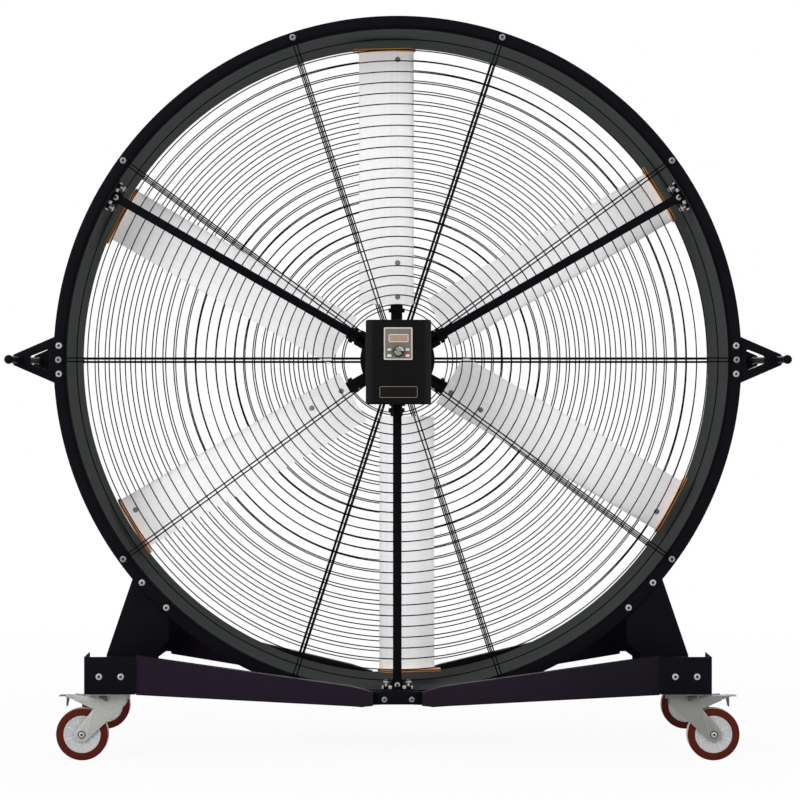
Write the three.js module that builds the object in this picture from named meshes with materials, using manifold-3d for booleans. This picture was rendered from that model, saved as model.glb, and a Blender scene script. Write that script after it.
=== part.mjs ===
// A portable drum fan: a two metre drum with wire guards, a six-blade direct-drive rotor, a control
// box in front, push handles at the sides and a V-beam base on four braked swivel casters.
// Millimetres, +Z up. The front faces -Y, and the origin lies on the floor under the middle of the
// footprint.
import * as THREE from 'three';
import { mergeVertices } from 'three/addons/utils/BufferGeometryUtils.js';
import Module from 'manifold-3d';

const wasm = await Module();
wasm.setup();

const gap = 0.3; // between pieces that touch
const bite = 1; // how far shapes that are joined into one piece run into each other

// drum
const drumRadius = 1000; // outer edge of both flanges
const flangeWidth = 36; // from the inside of the barrel to the flange's edge
const flangeThickness = 6;
const barrelWall = 6;
const drumDepth = 600;
const floorToDrum = 148.6;
const drumSides = 64;
const outsideGap = 1.5; // from the faceted barrel to the plates round it
const boreRadius = drumRadius - flangeWidth;
const barrelRadius = boreRadius + barrelWall;
const plateSeat = barrelRadius + outsideGap;
const axisHeight = floorToDrum + drumRadius;
const halfDepth = drumDepth / 2;

// wire guards
const guardSpokes = 10;
const guardRingCount = 7;
const guardEye = 160; // smallest ring
const ringWire = 5;
const spokeWidth = 14; // a pair of wires side by side
const spokeWire = 4;
const spokeInset = 7; // from the spokes' ends to the flange's edge
const rimInset = 4; // from the largest ring to the inside of the barrel
const guardSides = 30;
const hubPlateRadius = 110;
const guardRim = boreRadius - rimInset;

// motor and its three bars
const motorSetback = 50; // from the flange face to the bars
const motorRadius = 100;
const motorLength = 210;
const motorRim = { rise: 4, overlap: 4 };
const bearingRadius = 42;
const bearingLength = 22;
const shaftRadius = 20;
const shaftTail = 20; // how far the shaft runs on past the bearing, inside the motor
const shaftRoom = 6; // between the shaft and the housing round it
const motorSides = 24;
const barWidth = 25;
const barDepth = 50;
const barAngles = [0, 120, 240]; // from straight down
const footPlate = { width: 92, thickness: 10, depth: 70 };
const motorRimRadius = motorRadius + motorRim.rise;

// rotor
const bladeCount = 6;
const bladeChord = 169;
const bladeThickness = 23;
const bladeEdge = 0.6; // least half thickness, at the trailing edge
const bladePitch = 15; // degrees
const nose = 53; // from the blade's centre line to its leading edge
const hubStandoff = 40; // from the motor's back face to the middle of the hub
const hubRadius = 90;
const hubDepth = 24;
const arm = { width: 35, depth: 14, endWidth: 48, endInner: 144, endOuter: 165 };
const tongue = { width: 34, depth: 8, length: 145 };
const rootGap = 3; // from the arm's end to the blade
const winglet = { tipRoom: 28, thickness: 10, ahead: 5, behind: 30, height: 62, plug: 36, seat: 3 };
// the tail's rear corner: how far behind the blade's centre line, how far back, and where its curve starts
const wingTail = { behind: 100, back: 58, waist: 30 };
const wingOuter = boreRadius - winglet.tipRoom;
const wingInner = wingOuter - winglet.thickness;
const bladeRoot = arm.endOuter + rootGap;
const bladeTip = Math.sqrt(wingInner ** 2 - (bladeChord - nose) ** 2) - winglet.seat;

// control box
const box = { width: 188, height: 244, depth: 110, drop: 7, shiftX: 2, corner: 10 };
const keypad = { width: 84, height: 95, depth: 6, fromTop: 22.5, corner: 4 };
const display = { width: 58, height: 24, depth: 2, fromTop: 19, corner: 2 };
const nameplate = { width: 109, height: 33, depth: 1.5, fromBottom: 19.5, corner: 4 };
const knob = { radius: 15.5, depth: 16, chamfer: 2, fromBottom: 10, stem: 4, stemDepth: 4 };
const button = { width: 13, height: 9, stand: 3, seat: 4, travelRoom: 2 };
const buttonGrid = { fromSide: 9.5, fromBottom: 9, pitch: 17.4 };

// push handles
const rod = { radius: 10, standOff: 104, forward: 223, back: 24, collar: 15, collarLength: 12 };
const rodSides = 12;
const grip = { radius: 13, length: 26 };
const plate = { pastRod: 5, overRod: 4.5, baseHalf: 66, thickness: 6 };
const plateWindow = { fromDrum: 16, fromRod: 42, innerHalf: 28, outerHalf: 9 };
const rodCentre = drumRadius + rod.standOff;

// casters
const wheelRadius = 75;
const wheelWidth = 46;
const wheelSides = 18;
const coreRadius = 54;
const coreRim = { depth: 4, wall: 7 };
const coreBoss = { wall: 9, root: 14, proud: 1 };
const tyreShoulder = 6;
const axleRadius = 8;
const axleEnd = 4; // how far the axle stands out of the fork
const casterX = 820;
const casterPastFlange = 112; // from the flange face to the swivel axis
const trail = 84.5;
const topPlate = { size: 104, thickness: 6, race: 34, raceDepth: 7, cover: 2 };
const fork = { crown: 52, thickness: 5, headroom: 26.7, cheekGap: 2.7, pin: 9, boss: 21 };
const forkLeg = { shoulder: 14, slantDrop: 16, slantBack: 10 }; // its slant, from the crown to the axle
const forkEar = { reach: 108, rise: 8, taper: 4, root: 6, rootDrop: 29.7, tipDrop: 2.7 }; // from the crown
const pedal = { pivotX: 94, pivotDrop: 3.7, pin: 5, back: 12, half: 6, inset: 5.7 };
const pedalTip = { knee: 129, rise: 10, lip: 151, lipRise: 11, thick: 4, clawX: 127, clawDrop: 24.5 };
const casterY = halfDepth + casterPastFlange;
const cheekInner = wheelWidth / 2 + fork.cheekGap;
const cheekOuter = cheekInner + fork.thickness;
const crownBottom = 2 * wheelRadius + fork.headroom;
const crownTop = crownBottom + fork.thickness;
const raceBottom = crownTop + gap;
const plateBottom = raceBottom + topPlate.raceDepth;
const plateTop = plateBottom + topPlate.thickness;

// base
const tray = { halfWidth: 73.5, height: 106.7, pastCaster: 83, behindCaster: 157, sheet: 8 };
const rearTrayTrim = 22; // how much narrower the rear trays are, on the outside
// the gusset's corners, across from the swivel axis and up or down from the tray's top
const gusset = { top: -50, foot: 26, heel: -109, inner: -154, kneeRise: 31, footDrop: 12, edge: 1.6 };
const rail = { width: 60, height: 60 };
const beam = { depth: 40, rootInset: 8, knee: 41 };
const tab = { half: 95, drop: 3.6, clear: 1.1, thickness: 14 };
// heights from the drum's lowest point for the root and knee, and from the tray for the end
const frontArm = { root: [-5.6, 38.4], knee: [-2.6, 55.4], end: [2.7, 2] };
const rearArm = { root: [-3.6, 38.4], knee: [-0.6, 59.4], end: [40.7, 38] };
const trayInner = casterX - tray.halfWidth;
const trayOuter = casterX + tray.halfWidth;
const trayBottom = plateTop + gap;
const trayTop = trayBottom + tray.height;
const trayFront = casterY + tray.pastCaster;
const trayBack = casterY - tray.behindCaster;

const colours = {
  blackPaint: material(0x14131a, 0.45, 0.3),
  beamPaint: material(0x231b27, 0.45, 0.3),
  blade: material(0xd9dadb, 0.35, 0.8),
  winglet: material(0xc4751f, 0.45, 0.1),
  boxShell: material(0x161616, 0.6, 0.1),
  keypadFace: material(0x5b5d60, 0.5, 0.1),
  glassBlack: material(0x1d2022, 0.2, 0.0),
  label: material(0x222224, 0.5, 0.1),
  knobBlack: material(0x202020, 0.5, 0.0),
  greyKey: material(0x8a8c8e, 0.6, 0.0),
  greenKey: material(0x2f8f4e, 0.6, 0.0),
  redKey: material(0xb03a34, 0.6, 0.0),
  zinc: material(0x9b9d9a, 0.4, 0.8),
  core: material(0xafb0b2, 0.45, 0.4),
  tyre: material(0x521a14, 0.6, 0.0),
  steel: material(0x8f9194, 0.35, 0.9)
};

function material(color, roughness, metalness) {
  return new THREE.MeshStandardMaterial({ color, roughness, metalness });
}

// ---- shapes ----

// One indexed closed skin with merged vertices, no flat triangles and its faces pointing out.
function weld(geometry) {
  const bare = geometry.clone();
  for (const key of Object.keys(bare.attributes)) if (key !== 'position') bare.deleteAttribute(key);
  const merged = mergeVertices(bare, 1e-4);
  const kept = [];
  for (let i = 0; i < merged.index.count; i += 3) {
    const [a, b, c] = [0, 1, 2].map((k) => merged.index.getX(i + k));
    if (a !== b && b !== c && c !== a) kept.push(a, b, c);
  }
  if (signedVolume(merged.attributes.position, kept) < 0) kept.reverse();
  merged.setIndex(kept);
  return merged;
}

function signedVolume(position, index) {
  const [a, b, c] = [new THREE.Vector3(), new THREE.Vector3(), new THREE.Vector3()];
  let volume = 0;
  for (let i = 0; i < index.length; i += 3) {
    a.fromBufferAttribute(position, index[i]);
    b.fromBufferAttribute(position, index[i + 1]);
    c.fromBufferAttribute(position, index[i + 2]);
    volume += a.dot(b.cross(c)) / 6;
  }
  return volume;
}

function toSolid(geometry) {
  const skin = weld(geometry);
  const vertProperties = new Float32Array(skin.attributes.position.array);
  const triVerts = new Uint32Array(skin.index.array);
  return new wasm.Manifold(new wasm.Mesh({ numProp: 3, vertProperties, triVerts }));
}

function toGeometry(solid) {
  const { vertProperties, triVerts } = solid.getMesh();
  const geometry = new THREE.BufferGeometry();
  geometry.setAttribute('position', new THREE.BufferAttribute(vertProperties, 3));
  geometry.setIndex(new THREE.BufferAttribute(triVerts, 1));
  return geometry;
}

function join(...geometries) {
  return toGeometry(geometries.map(toSolid).reduce((whole, next) => whole.add(next)));
}

function cut(geometry, ...tools) {
  return toGeometry(tools.map(toSolid).reduce((whole, next) => whole.subtract(next), toSolid(geometry)));
}

function common(one, other) {
  return toGeometry(toSolid(one).intersect(toSolid(other)));
}

// A box from its low and high corners.
function block(x0, x1, y0, y1, z0, z1) {
  const geometry = new THREE.BoxGeometry(x1 - x0, y1 - y0, z1 - z0);
  return geometry.translate((x0 + x1) / 2, (y0 + y1) / 2, (z0 + z1) / 2);
}

// A round piece about the Y axis from [radius, y] points. It is closed on itself or on the axis.
function turned(profile, sides, turnSide = 0) {
  const points = profile.map(([radius, y]) => new THREE.Vector2(radius, y));
  if (profile[0][0] > 0) points.push(points[0].clone());
  return new THREE.LatheGeometry(points, sides).rotateY(turnSide * Math.PI / sides);
}

function disc(radius, y0, y1, sides) {
  return turned([[0, y0], [radius, y0], [radius, y1], [0, y1]], sides);
}

function upright(geometry) {
  return geometry.rotateX(Math.PI / 2);
}

// A straight-sided outline, always drawn anticlockwise, as a hole or a shape.
function outline(points) {
  const corners = points.map(([x, y]) => new THREE.Vector2(x, y));
  return new THREE.Shape(THREE.ShapeUtils.isClockWise(corners) ? corners.reverse() : corners);
}

// The corners of a hole whose flats clear a shaft of the given radius.
function roundHole(x, y, radius, sides) {
  const corner = radius / Math.cos(Math.PI / sides);
  const angles = Array.from({ length: sides }, (_, i) => 2 * Math.PI * i / sides);
  return angles.map((angle) => [x + corner * Math.cos(angle), y + corner * Math.sin(angle)]);
}

// An outline in X and Z, as deep as y0 to y1.
function slab(shape, y0, y1, curveSegments = 6) {
  const options = { depth: y1 - y0, bevelEnabled: false, curveSegments };
  return new THREE.ExtrudeGeometry(shape, options).rotateX(Math.PI / 2).translate(0, y1, 0);
}

// An outline in X and Y, from z0 up to z1.
function column(shape, z0, z1, curveSegments = 3) {
  const options = { depth: z1 - z0, bevelEnabled: false, curveSegments };
  return new THREE.ExtrudeGeometry(shape, options).translate(0, 0, z0);
}

function roundedRectangle(width, height, radius) {
  const [x, y] = [width / 2 - radius, height / 2 - radius];
  const shape = new THREE.Shape();
  shape.absarc(x, y, radius, 0, Math.PI / 2);
  shape.absarc(-x, y, radius, Math.PI / 2, Math.PI);
  shape.absarc(-x, -y, radius, Math.PI, Math.PI * 1.5);
  shape.absarc(x, -y, radius, Math.PI * 1.5, Math.PI * 2);
  return shape;
}

// A straight bar between two upright rectangles, each { x, y0, y1, z0, z1 }.
function taperedBar(one, other) {
  const corners = [one, other].flatMap(({ x, y0, y1, z0, z1 }) => [
    x, y0, z0, x, y1, z0, x, y1, z1, x, y0, z1
  ]);
  const faces = [0, 1, 2, 0, 2, 3, 4, 6, 5, 4, 7, 6];
  for (let i = 0; i < 4; i++) {
    const next = (i + 1) % 4;
    faces.push(i, i + 4, next, next, i + 4, next + 4);
  }
  const geometry = new THREE.BufferGeometry();
  geometry.setAttribute('position', new THREE.Float32BufferAttribute(corners, 3));
  geometry.setIndex(faces);
  return geometry;
}

function mesh(name, geometry, look) {
  const piece = new THREE.Mesh(weld(geometry), look);
  piece.name = name;
  return piece;
}

function radians(degrees) {
  return degrees * Math.PI / 180;
}

// ---- drum, guards and motor, with the fan's axis along Y through the group's origin ----

const guardPlane = -halfDepth - gap - spokeWire; // front of the front guard's spokes
const guardFront = guardPlane - ringWire + bite;
const barFront = -halfDepth + motorSetback;
const motorBack = barFront + motorLength;
const bearingFront = motorBack - bearingLength;
const rotorPlane = motorBack + hubStandoff;

function drumShell() {
  const profile = [
    [boreRadius, -halfDepth], [drumRadius, -halfDepth], [drumRadius, -halfDepth + flangeThickness],
    [barrelRadius, -halfDepth + flangeThickness], [barrelRadius, halfDepth - flangeThickness],
    [drumRadius, halfDepth - flangeThickness], [drumRadius, halfDepth], [boreRadius, halfDepth]
  ];
  return mesh('drum_shell', turned(profile, drumSides), colours.blackPaint);
}

// Rings with spokes behind them and a plate in the middle, for the front. The rear one is turned.
function guard(name) {
  const pieces = [];
  const pitch = (guardRim - guardEye) / (guardRingCount - 1);
  for (let i = 0; i < guardRingCount; i++) {
    const middle = guardEye + i * pitch;
    const back = guardPlane + bite;
    const wire = [[middle - ringWire / 2, back], [middle + ringWire / 2, back], [middle, guardFront]];
    pieces.push(turned(wire, guardSides));
  }
  for (let i = 0; i < guardSpokes; i++) {
    const spoke = block(hubPlateRadius - spokeWidth, drumRadius - spokeInset,
      guardPlane, guardPlane + spokeWire, -spokeWidth / 2, spokeWidth / 2);
    pieces.push(spoke.rotateY(2 * Math.PI * i / guardSpokes));
  }
  pieces.push(disc(hubPlateRadius, guardFront, guardPlane + spokeWire, guardSides));
  return mesh(name, join(...pieces), colours.blackPaint);
}

function motorHousing() {
  const bore = shaftRadius + shaftRoom;
  const seat = bearingRadius + gap;
  const [rimBack, wellFront] = [barFront + barDepth + motorRim.overlap, barFront + barDepth];
  const profile = [
    [0, barFront], [motorRimRadius, barFront], [motorRimRadius, rimBack], [motorRadius, rimBack],
    [motorRadius, motorBack], [seat, motorBack], [seat, bearingFront - gap], [bore, bearingFront - gap],
    [bore, wellFront], [0, wellFront]
  ];
  return mesh('motor_housing', turned(profile, motorSides), colours.blackPaint);
}

function motorBearing() {
  const bore = (shaftRadius + gap) / Math.cos(Math.PI / motorSides);
  const profile = [
    [bore, bearingFront], [bearingRadius, bearingFront], [bearingRadius, motorBack], [bore, motorBack]
  ];
  return mesh('motor_bearing', turned(profile, motorSides), colours.steel);
}

// A bar that hangs from the motor, turned round to its angle. Its foot plate follows the barrel wall.
function motorBar(name, angle) {
  const { width, thickness, depth } = footPlate;
  const footFront = barFront + (barDepth - depth) / 2;
  const stem = block(-barWidth / 2, barWidth / 2, barFront, barFront + barDepth,
    thickness / 2 - boreRadius, -motorRimRadius - gap);
  const foot = block(-width / 2, width / 2, footFront, footFront + depth,
    -boreRadius, thickness - boreRadius);
  const wall = disc(boreRadius - gap, footFront - bite, footFront + depth + bite, drumSides)
    .rotateY(-angle);
  return mesh(name, common(join(stem, foot), wall).rotateY(angle), colours.blackPaint);
}

// ---- rotor, each blade drawn pointing up ----

const pitchTurn = radians(bladePitch);

// Half the thickness of the blade at u, from 0 at the leading edge to 1 at the trailing edge.
function bladeHalf(u) {
  const curve = 0.2969 * Math.sqrt(u) - 0.126 * u - 0.3516 * u ** 2 + 0.2843 * u ** 3 - 0.1036 * u ** 4;
  return 5 * bladeThickness * curve;
}

function bladeSection() {
  const steps = 8;
  const surface = (side, step) => {
    const u = (1 - Math.cos(Math.PI * step / steps)) / 2;
    return [nose - bladeChord * u, side * Math.max(bladeHalf(u), bladeEdge)];
  };
  const points = [];
  for (let step = steps; step > 0; step--) points.push(surface(1, step));
  for (let step = 0; step <= steps; step++) points.push(step ? surface(-1, step) : [nose, 0]);
  return outline(points);
}

function blade(name) {
  const section = bladeSection();
  const [x, y] = [tongue.width / 2 + gap, tongue.depth / 2 + gap];
  section.holes.push(outline([[-x, -y], [-x, y], [x, y], [x, -y]]));
  return mesh(name, column(section, bladeRoot, bladeTip).rotateZ(pitchTurn), colours.blade);
}

// The curved plate on a blade's tip, with a plug that fits the blade's slot.
function tipWinglet(name) {
  const lead = nose + winglet.ahead;
  const trailing = bladeChord - nose + winglet.behind;
  const half = winglet.height / 2;
  const form = new THREE.Shape();
  form.moveTo(-trailing, -half);
  form.lineTo(lead - half, -half);
  form.absarc(lead - half, 0, half, -Math.PI / 2, Math.PI / 2);
  form.quadraticCurveTo(-wingTail.waist, half, -wingTail.behind, wingTail.back);
  const prism = column(form, wingInner / 2, wingOuter + bite, 6).rotateZ(pitchTurn);
  const spread = Math.asin(1.2 * trailing / wingInner);
  const strip = new THREE.Shape();
  strip.absarc(0, 0, wingOuter, Math.PI / 2 - spread, Math.PI / 2 + spread);
  strip.absarc(0, 0, wingInner, Math.PI / 2 + spread, Math.PI / 2 - spread, true);
  const skin = common(prism, slab(strip, -trailing, trailing, 8));
  const plug = block(-tongue.width / 2, tongue.width / 2, -tongue.depth / 2, tongue.depth / 2,
    bladeTip - winglet.plug, wingInner + winglet.thickness / 2).rotateZ(pitchTurn);
  return mesh(name, join(skin, plug), colours.winglet);
}

function rotorHub() {
  const pieces = [
    disc(hubRadius, -hubDepth / 2, hubDepth / 2, motorSides),
    disc(shaftRadius, bearingFront - shaftTail - rotorPlane, -hubDepth / 4, motorSides)
  ];
  for (let i = 0; i < bladeCount; i++) {
    const root = block(-arm.width / 2, arm.width / 2, -arm.depth / 2, arm.depth / 2,
      hubRadius / 2, (arm.endInner + arm.endOuter) / 2);
    const end = block(-arm.endWidth / 2, arm.endWidth / 2, -arm.depth / 2, arm.depth / 2,
      arm.endInner, arm.endOuter).rotateZ(pitchTurn);
    const inside = block(-tongue.width / 2, tongue.width / 2, -tongue.depth / 2, tongue.depth / 2,
      arm.endInner + bite, arm.endOuter + tongue.length).rotateZ(pitchTurn);
    pieces.push(...[root, end, inside].map((piece) => piece.rotateY(2 * Math.PI * i / bladeCount)));
  }
  return mesh('rotor_hub', join(...pieces), colours.blackPaint);
}

function rotor() {
  const group = new THREE.Group();
  group.position.y = rotorPlane;
  group.add(rotorHub());
  for (let i = 0; i < bladeCount; i++) {
    const spoke = new THREE.Group();
    spoke.rotation.y = 2 * Math.PI * i / bladeCount;
    spoke.add(blade(`blade_${i + 1}`), tipWinglet(`winglet_${i + 1}`));
    group.add(spoke);
  }
  return group;
}

// ---- control box, in front of the guard's middle plate ----

const padTop = box.height / 2 - keypad.fromTop;
const padBottom = padTop - keypad.height;

function controlBox() {
  const group = new THREE.Group();
  const back = guardFront - gap;
  group.position.set(box.shiftX, back, -box.drop);
  const front = -box.depth;
  const shell = column(roundedRectangle(box.width, box.depth, box.corner), -box.height / 2, box.height / 2)
    .translate(0, front / 2, 0);
  group.add(mesh('control_box', shell, colours.boxShell));

  const padFront = front - gap - keypad.depth;
  const padShape = roundedRectangle(keypad.width, keypad.height, keypad.corner);
  const pad = slab(padShape, padFront, front - gap, 3).translate(0, 0, padTop - keypad.height / 2);
  const knobZ = padBottom + knob.fromBottom + knob.radius;
  const stemHole = disc(knob.stem + gap, padFront - bite, padFront + knob.stemDepth, 16)
    .translate(0, 0, knobZ);
  const wells = buttonPlaces().map(({ x, z }) => block(
    x - button.width / 2 - gap, x + button.width / 2 + gap, padFront - bite, padFront + button.seat,
    z - button.height / 2 - gap, z + button.height / 2 + gap));
  group.add(mesh('keypad', cut(pad, stemHole, ...wells), colours.keypadFace));

  const windowShape = roundedRectangle(display.width, display.height, display.corner);
  group.add(mesh('display_window', slab(windowShape, padFront - gap - display.depth, padFront - gap, 3)
    .translate(0, 0, padTop - display.fromTop - display.height / 2), colours.glassBlack));

  const knobProfile = [
    [0, 0], [knob.radius, 0], [knob.radius, knob.chamfer - knob.depth],
    [knob.radius - knob.chamfer, -knob.depth], [0, -knob.depth]
  ];
  const stem = disc(knob.stem, -bite, knob.stemDepth - bite, 16);
  const dial = join(turned(knobProfile, 20), stem).translate(0, padFront - 2 * gap, knobZ);
  group.add(mesh('speed_knob', dial, colours.knobBlack));

  for (const { name, x, z, look } of buttonPlaces()) {
    const key = block(x - button.width / 2, x + button.width / 2, padFront - button.stand,
      padFront + button.seat - button.travelRoom, z - button.height / 2, z + button.height / 2);
    group.add(mesh(name, key, look));
  }

  const labelShape = roundedRectangle(nameplate.width, nameplate.height, nameplate.corner);
  const label = slab(labelShape, front - gap - nameplate.depth, front - gap, 3);
  label.translate(0, 0, nameplate.fromBottom + (nameplate.height - box.height) / 2);
  group.add(mesh('nameplate', label, colours.label));
  return group;
}

function buttonPlaces() {
  const x = (keypad.width - button.width) / 2 - buttonGrid.fromSide;
  const low = padBottom + buttonGrid.fromBottom + button.height / 2;
  return [
    { name: 'button_up', x: -x, z: low + buttonGrid.pitch, look: colours.greyKey },
    { name: 'button_down', x, z: low + buttonGrid.pitch, look: colours.greyKey },
    { name: 'button_start', x: -x, z: low, look: colours.greenKey },
    { name: 'button_stop', x, z: low, look: colours.redKey }
  ];
}

// ---- push handles ----

// The plate behind a flange that carries the rod, pointing to +X.
function handlePlate(name, y0) {
  const base = plate.baseHalf;
  const [tip, tipHalf] = [rodCentre + rod.radius + plate.pastRod, rod.radius + plate.overRod];
  const reach = Math.sqrt(plateSeat ** 2 - base ** 2);
  const shape = outline([
    [plateSeat, 0], [reach, base], [drumRadius, base], [tip, tipHalf],
    [tip, -tipHalf], [drumRadius, -base], [reach, -base]
  ]);
  const [near, far] = [drumRadius + plateWindow.fromDrum, rodCentre - plateWindow.fromRod];
  shape.holes.push(outline([
    [near, plateWindow.innerHalf], [near, -plateWindow.innerHalf],
    [far, -plateWindow.outerHalf], [far, plateWindow.outerHalf]
  ]));
  shape.holes.push(outline(roundHole(rodCentre, 0, rod.radius + gap, rodSides)));
  return mesh(name, slab(shape, y0, y0 + plate.thickness), colours.blackPaint);
}

function handles() {
  const group = new THREE.Group();
  const front = -halfDepth + flangeThickness + gap;
  const rear = -front - plate.thickness;
  const [rodFront, rodBack] = [-halfDepth - rod.forward, halfDepth + rod.back];
  const collarFront = front - gap - rod.collarLength;
  for (const [side, turn] of [['right', 0], ['left', Math.PI]]) {
    const hand = new THREE.Group();
    hand.rotation.y = turn;
    hand.add(handlePlate(`handle_plate_front_${side}`, front));
    hand.add(handlePlate(`handle_plate_rear_${side}`, rear));
    const profile = [
      [0, rodFront - grip.length / 2], [grip.radius * 0.7, rodFront - grip.length * 0.4],
      [grip.radius, rodFront - grip.length * 0.15], [grip.radius, rodFront + grip.length * 0.25],
      [rod.radius, rodFront + grip.length / 2], [rod.radius, collarFront], [rod.collar, collarFront],
      [rod.collar, front - gap], [rod.radius, front - gap], [rod.radius, rodBack], [0, rodBack]
    ];
    const bar = turned(profile, rodSides).translate(rodCentre, 0, 0);
    hand.add(mesh(`handle_bar_${side}`, bar, colours.blackPaint));
    group.add(hand);
  }
  return group;
}

// ---- base, with the floor at Z 0 ----

// One side of the base: a tray over each caster, a gusset behind each flange and a rail between.
// It is drawn to the right, and its rear tray lies along +Y for rear 1 and along -Y for rear -1.
function sideFrame(name, rear) {
  const pieces = [block(casterX - rail.width / 2, casterX + rail.width / 2,
    -trayBack - bite, trayBack + bite, trayBottom, trayBottom + rail.height)];
  const gussetBack = halfDepth - flangeThickness - gap;
  for (const side of [-1, 1]) {
    const span = spanTo(side);
    const outer = side === rear ? trayOuter - rearTrayTrim : trayOuter;
    pieces.push(
      block(trayInner, outer, ...span(trayFront - tray.sheet, trayFront), trayBottom, trayTop),
      block(outer - tray.sheet, outer, ...span(trayBack, trayFront), trayBottom, trayTop),
      block(trayInner, outer, ...span(trayBack, trayFront), trayBottom, trayBottom + tray.sheet),
      gussetPlate(...span(gussetBack - plate.thickness, gussetBack))
    );
  }
  return mesh(name, join(...pieces), colours.blackPaint);
}

// Depths along Y from near to far, in front of the drum's middle for side -1 and behind it for 1.
function spanTo(side) {
  return (near, far) => side < 0 ? [-far, -near] : [near, far];
}

// The plate that rises from the tray to the bolts in the flange, outside the barrel.
function gussetPlate(y0, y1) {
  const [topX, footX, heelX] = [gusset.top, gusset.foot, gusset.heel].map((offset) => casterX + offset);
  const topZ = axisHeight - Math.sqrt((drumRadius - gusset.edge) ** 2 - topX ** 2);
  const innerX = casterX + gusset.inner;
  const [start, end] = [Math.atan2(topZ - axisHeight, topX), -Math.acos(innerX / plateSeat)];
  const shape = new THREE.Shape();
  shape.moveTo(heelX, trayBottom + bite);
  shape.lineTo(footX, trayBottom + bite);
  shape.lineTo(footX, trayTop - gusset.footDrop);
  shape.lineTo(topX, topZ);
  const steps = 6;
  for (let i = 0; i <= steps; i++) {
    const angle = start + (end - start) * i / steps;
    shape.lineTo(plateSeat * Math.cos(angle), axisHeight + plateSeat * Math.sin(angle));
  }
  shape.lineTo(innerX, trayTop + gusset.kneeRise);
  shape.lineTo(heelX, trayTop - gusset.footDrop);
  return slab(shape, y0, y1);
}

// A tab on the flange's lowest bolts and two arms that sweep out to the trays.
function vBeam(name, sweep, side) {
  const span = spanTo(side);
  const tabNear = halfDepth + gap;
  const tabTop = axisHeight - guardRim - ringWire / 2 - tab.clear;
  const pieces = [block(-tab.half, tab.half, ...span(tabNear, tabNear + tab.thickness),
    floorToDrum - tab.drop, tabTop)];
  const armNear = gap - guardFront;
  const endFar = trayFront - tray.sheet;
  const [y0, y1] = span(armNear, armNear + beam.depth);
  const [endY0, endY1] = span(endFar - beam.depth, endFar);
  const [rootZ, kneeZ] = [sweep.root, sweep.knee].map((heights) => heights.map((z) => floorToDrum + z));
  for (const hand of [-1, 1]) {
    const root = { x: hand * (tab.half - beam.rootInset), y0, y1, z0: rootZ[0], z1: rootZ[1] };
    const knee = { x: hand * (tab.half + beam.knee), y0, y1, z0: kneeZ[0], z1: kneeZ[1] };
    const end = {
      x: hand * (trayInner - gap), y0: endY0, y1: endY1,
      z0: trayBottom + sweep.end[0], z1: trayTop + sweep.end[1]
    };
    pieces.push(taperedBar(root, knee), taperedBar(knee, end));
  }
  return mesh(name, join(...pieces), colours.beamPaint);
}

// ---- casters, drawn trailing to +X about a swivel axis through the origin, floor at Z 0 ----

function uprightDisc(radius, z0, z1, sides) {
  return upright(disc(radius, z0, z1, sides));
}

function casterPlate(name) {
  const half = topPlate.size / 2;
  const flange = block(-half, half, -half, half, plateBottom, plateTop);
  const race = uprightDisc(topPlate.race, raceBottom, plateBottom + bite, 16);
  const boreCorner = (fork.pin + gap) / Math.cos(Math.PI / 10);
  const bore = uprightDisc(boreCorner, raceBottom - bite, plateTop - topPlate.cover, 10);
  return mesh(name, cut(join(flange, race), bore), colours.zinc);
}

// A crown disc with its kingpin, two slanted legs and the axle between them.
function casterFork(name) {
  const axleHalf = cheekOuter + axleEnd;
  const pieces = [
    uprightDisc(fork.crown, crownBottom, crownTop, 16),
    uprightDisc(fork.pin, crownTop - bite, plateTop - topPlate.cover - gap, 10),
    disc(axleRadius, -axleHalf, axleHalf, 10).translate(trail, 0, wheelRadius)
  ];
  for (const y0 of [-cheekOuter, cheekInner]) {
    pieces.push(slab(forkCheek(), y0, y0 + fork.thickness, 4));
  }
  return mesh(name, join(...pieces), colours.zinc);
}

// The side of the fork: as wide as the crown above, and a round-ended leg that slants to the axle.
function forkCheek() {
  const crownHalf = Math.sqrt(fork.crown ** 2 - cheekOuter ** 2);
  const shoulder = crownBottom - forkLeg.shoulder;
  const slant = Math.atan2(shoulder - forkLeg.slantDrop - wheelRadius, trail - forkLeg.slantBack);
  const [nx, nz] = [Math.sin(slant), Math.cos(slant)];
  const earTop = crownTop + forkEar.rise;
  const shape = new THREE.Shape();
  shape.moveTo(-crownHalf, crownTop - bite);
  shape.lineTo(-crownHalf, shoulder);
  shape.lineTo(trail - fork.boss * nx, wheelRadius - fork.boss * nz);
  shape.absarc(trail, wheelRadius, fork.boss, -Math.PI / 2 - slant, Math.PI / 2 - slant);
  shape.lineTo(crownHalf + forkEar.root, crownBottom - forkEar.rootDrop);
  shape.lineTo(forkEar.reach, crownBottom - forkEar.tipDrop);
  shape.lineTo(forkEar.reach, earTop);
  shape.lineTo(fork.crown, earTop - forkEar.taper);
  shape.lineTo(crownHalf, crownTop - bite);
  return shape;
}

function wheelCore(name) {
  const [bore, boss, web] = [axleRadius + 2 * gap, axleRadius + coreBoss.wall, axleRadius + coreBoss.root];
  const [face, rim] = [wheelWidth / 2 + coreBoss.proud, wheelWidth / 2 - coreRim.depth];
  const rimInner = coreRadius - coreRim.wall;
  const profile = [
    [bore, -face], [boss, -face], [web, -rim / 2], [rimInner, -rim], [coreRadius, -rim],
    [coreRadius, rim], [rimInner, rim], [web, rim / 2], [boss, face], [bore, face]
  ];
  return mesh(name, turned(profile, wheelSides, 1).translate(trail, 0, wheelRadius), colours.core);
}

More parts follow.
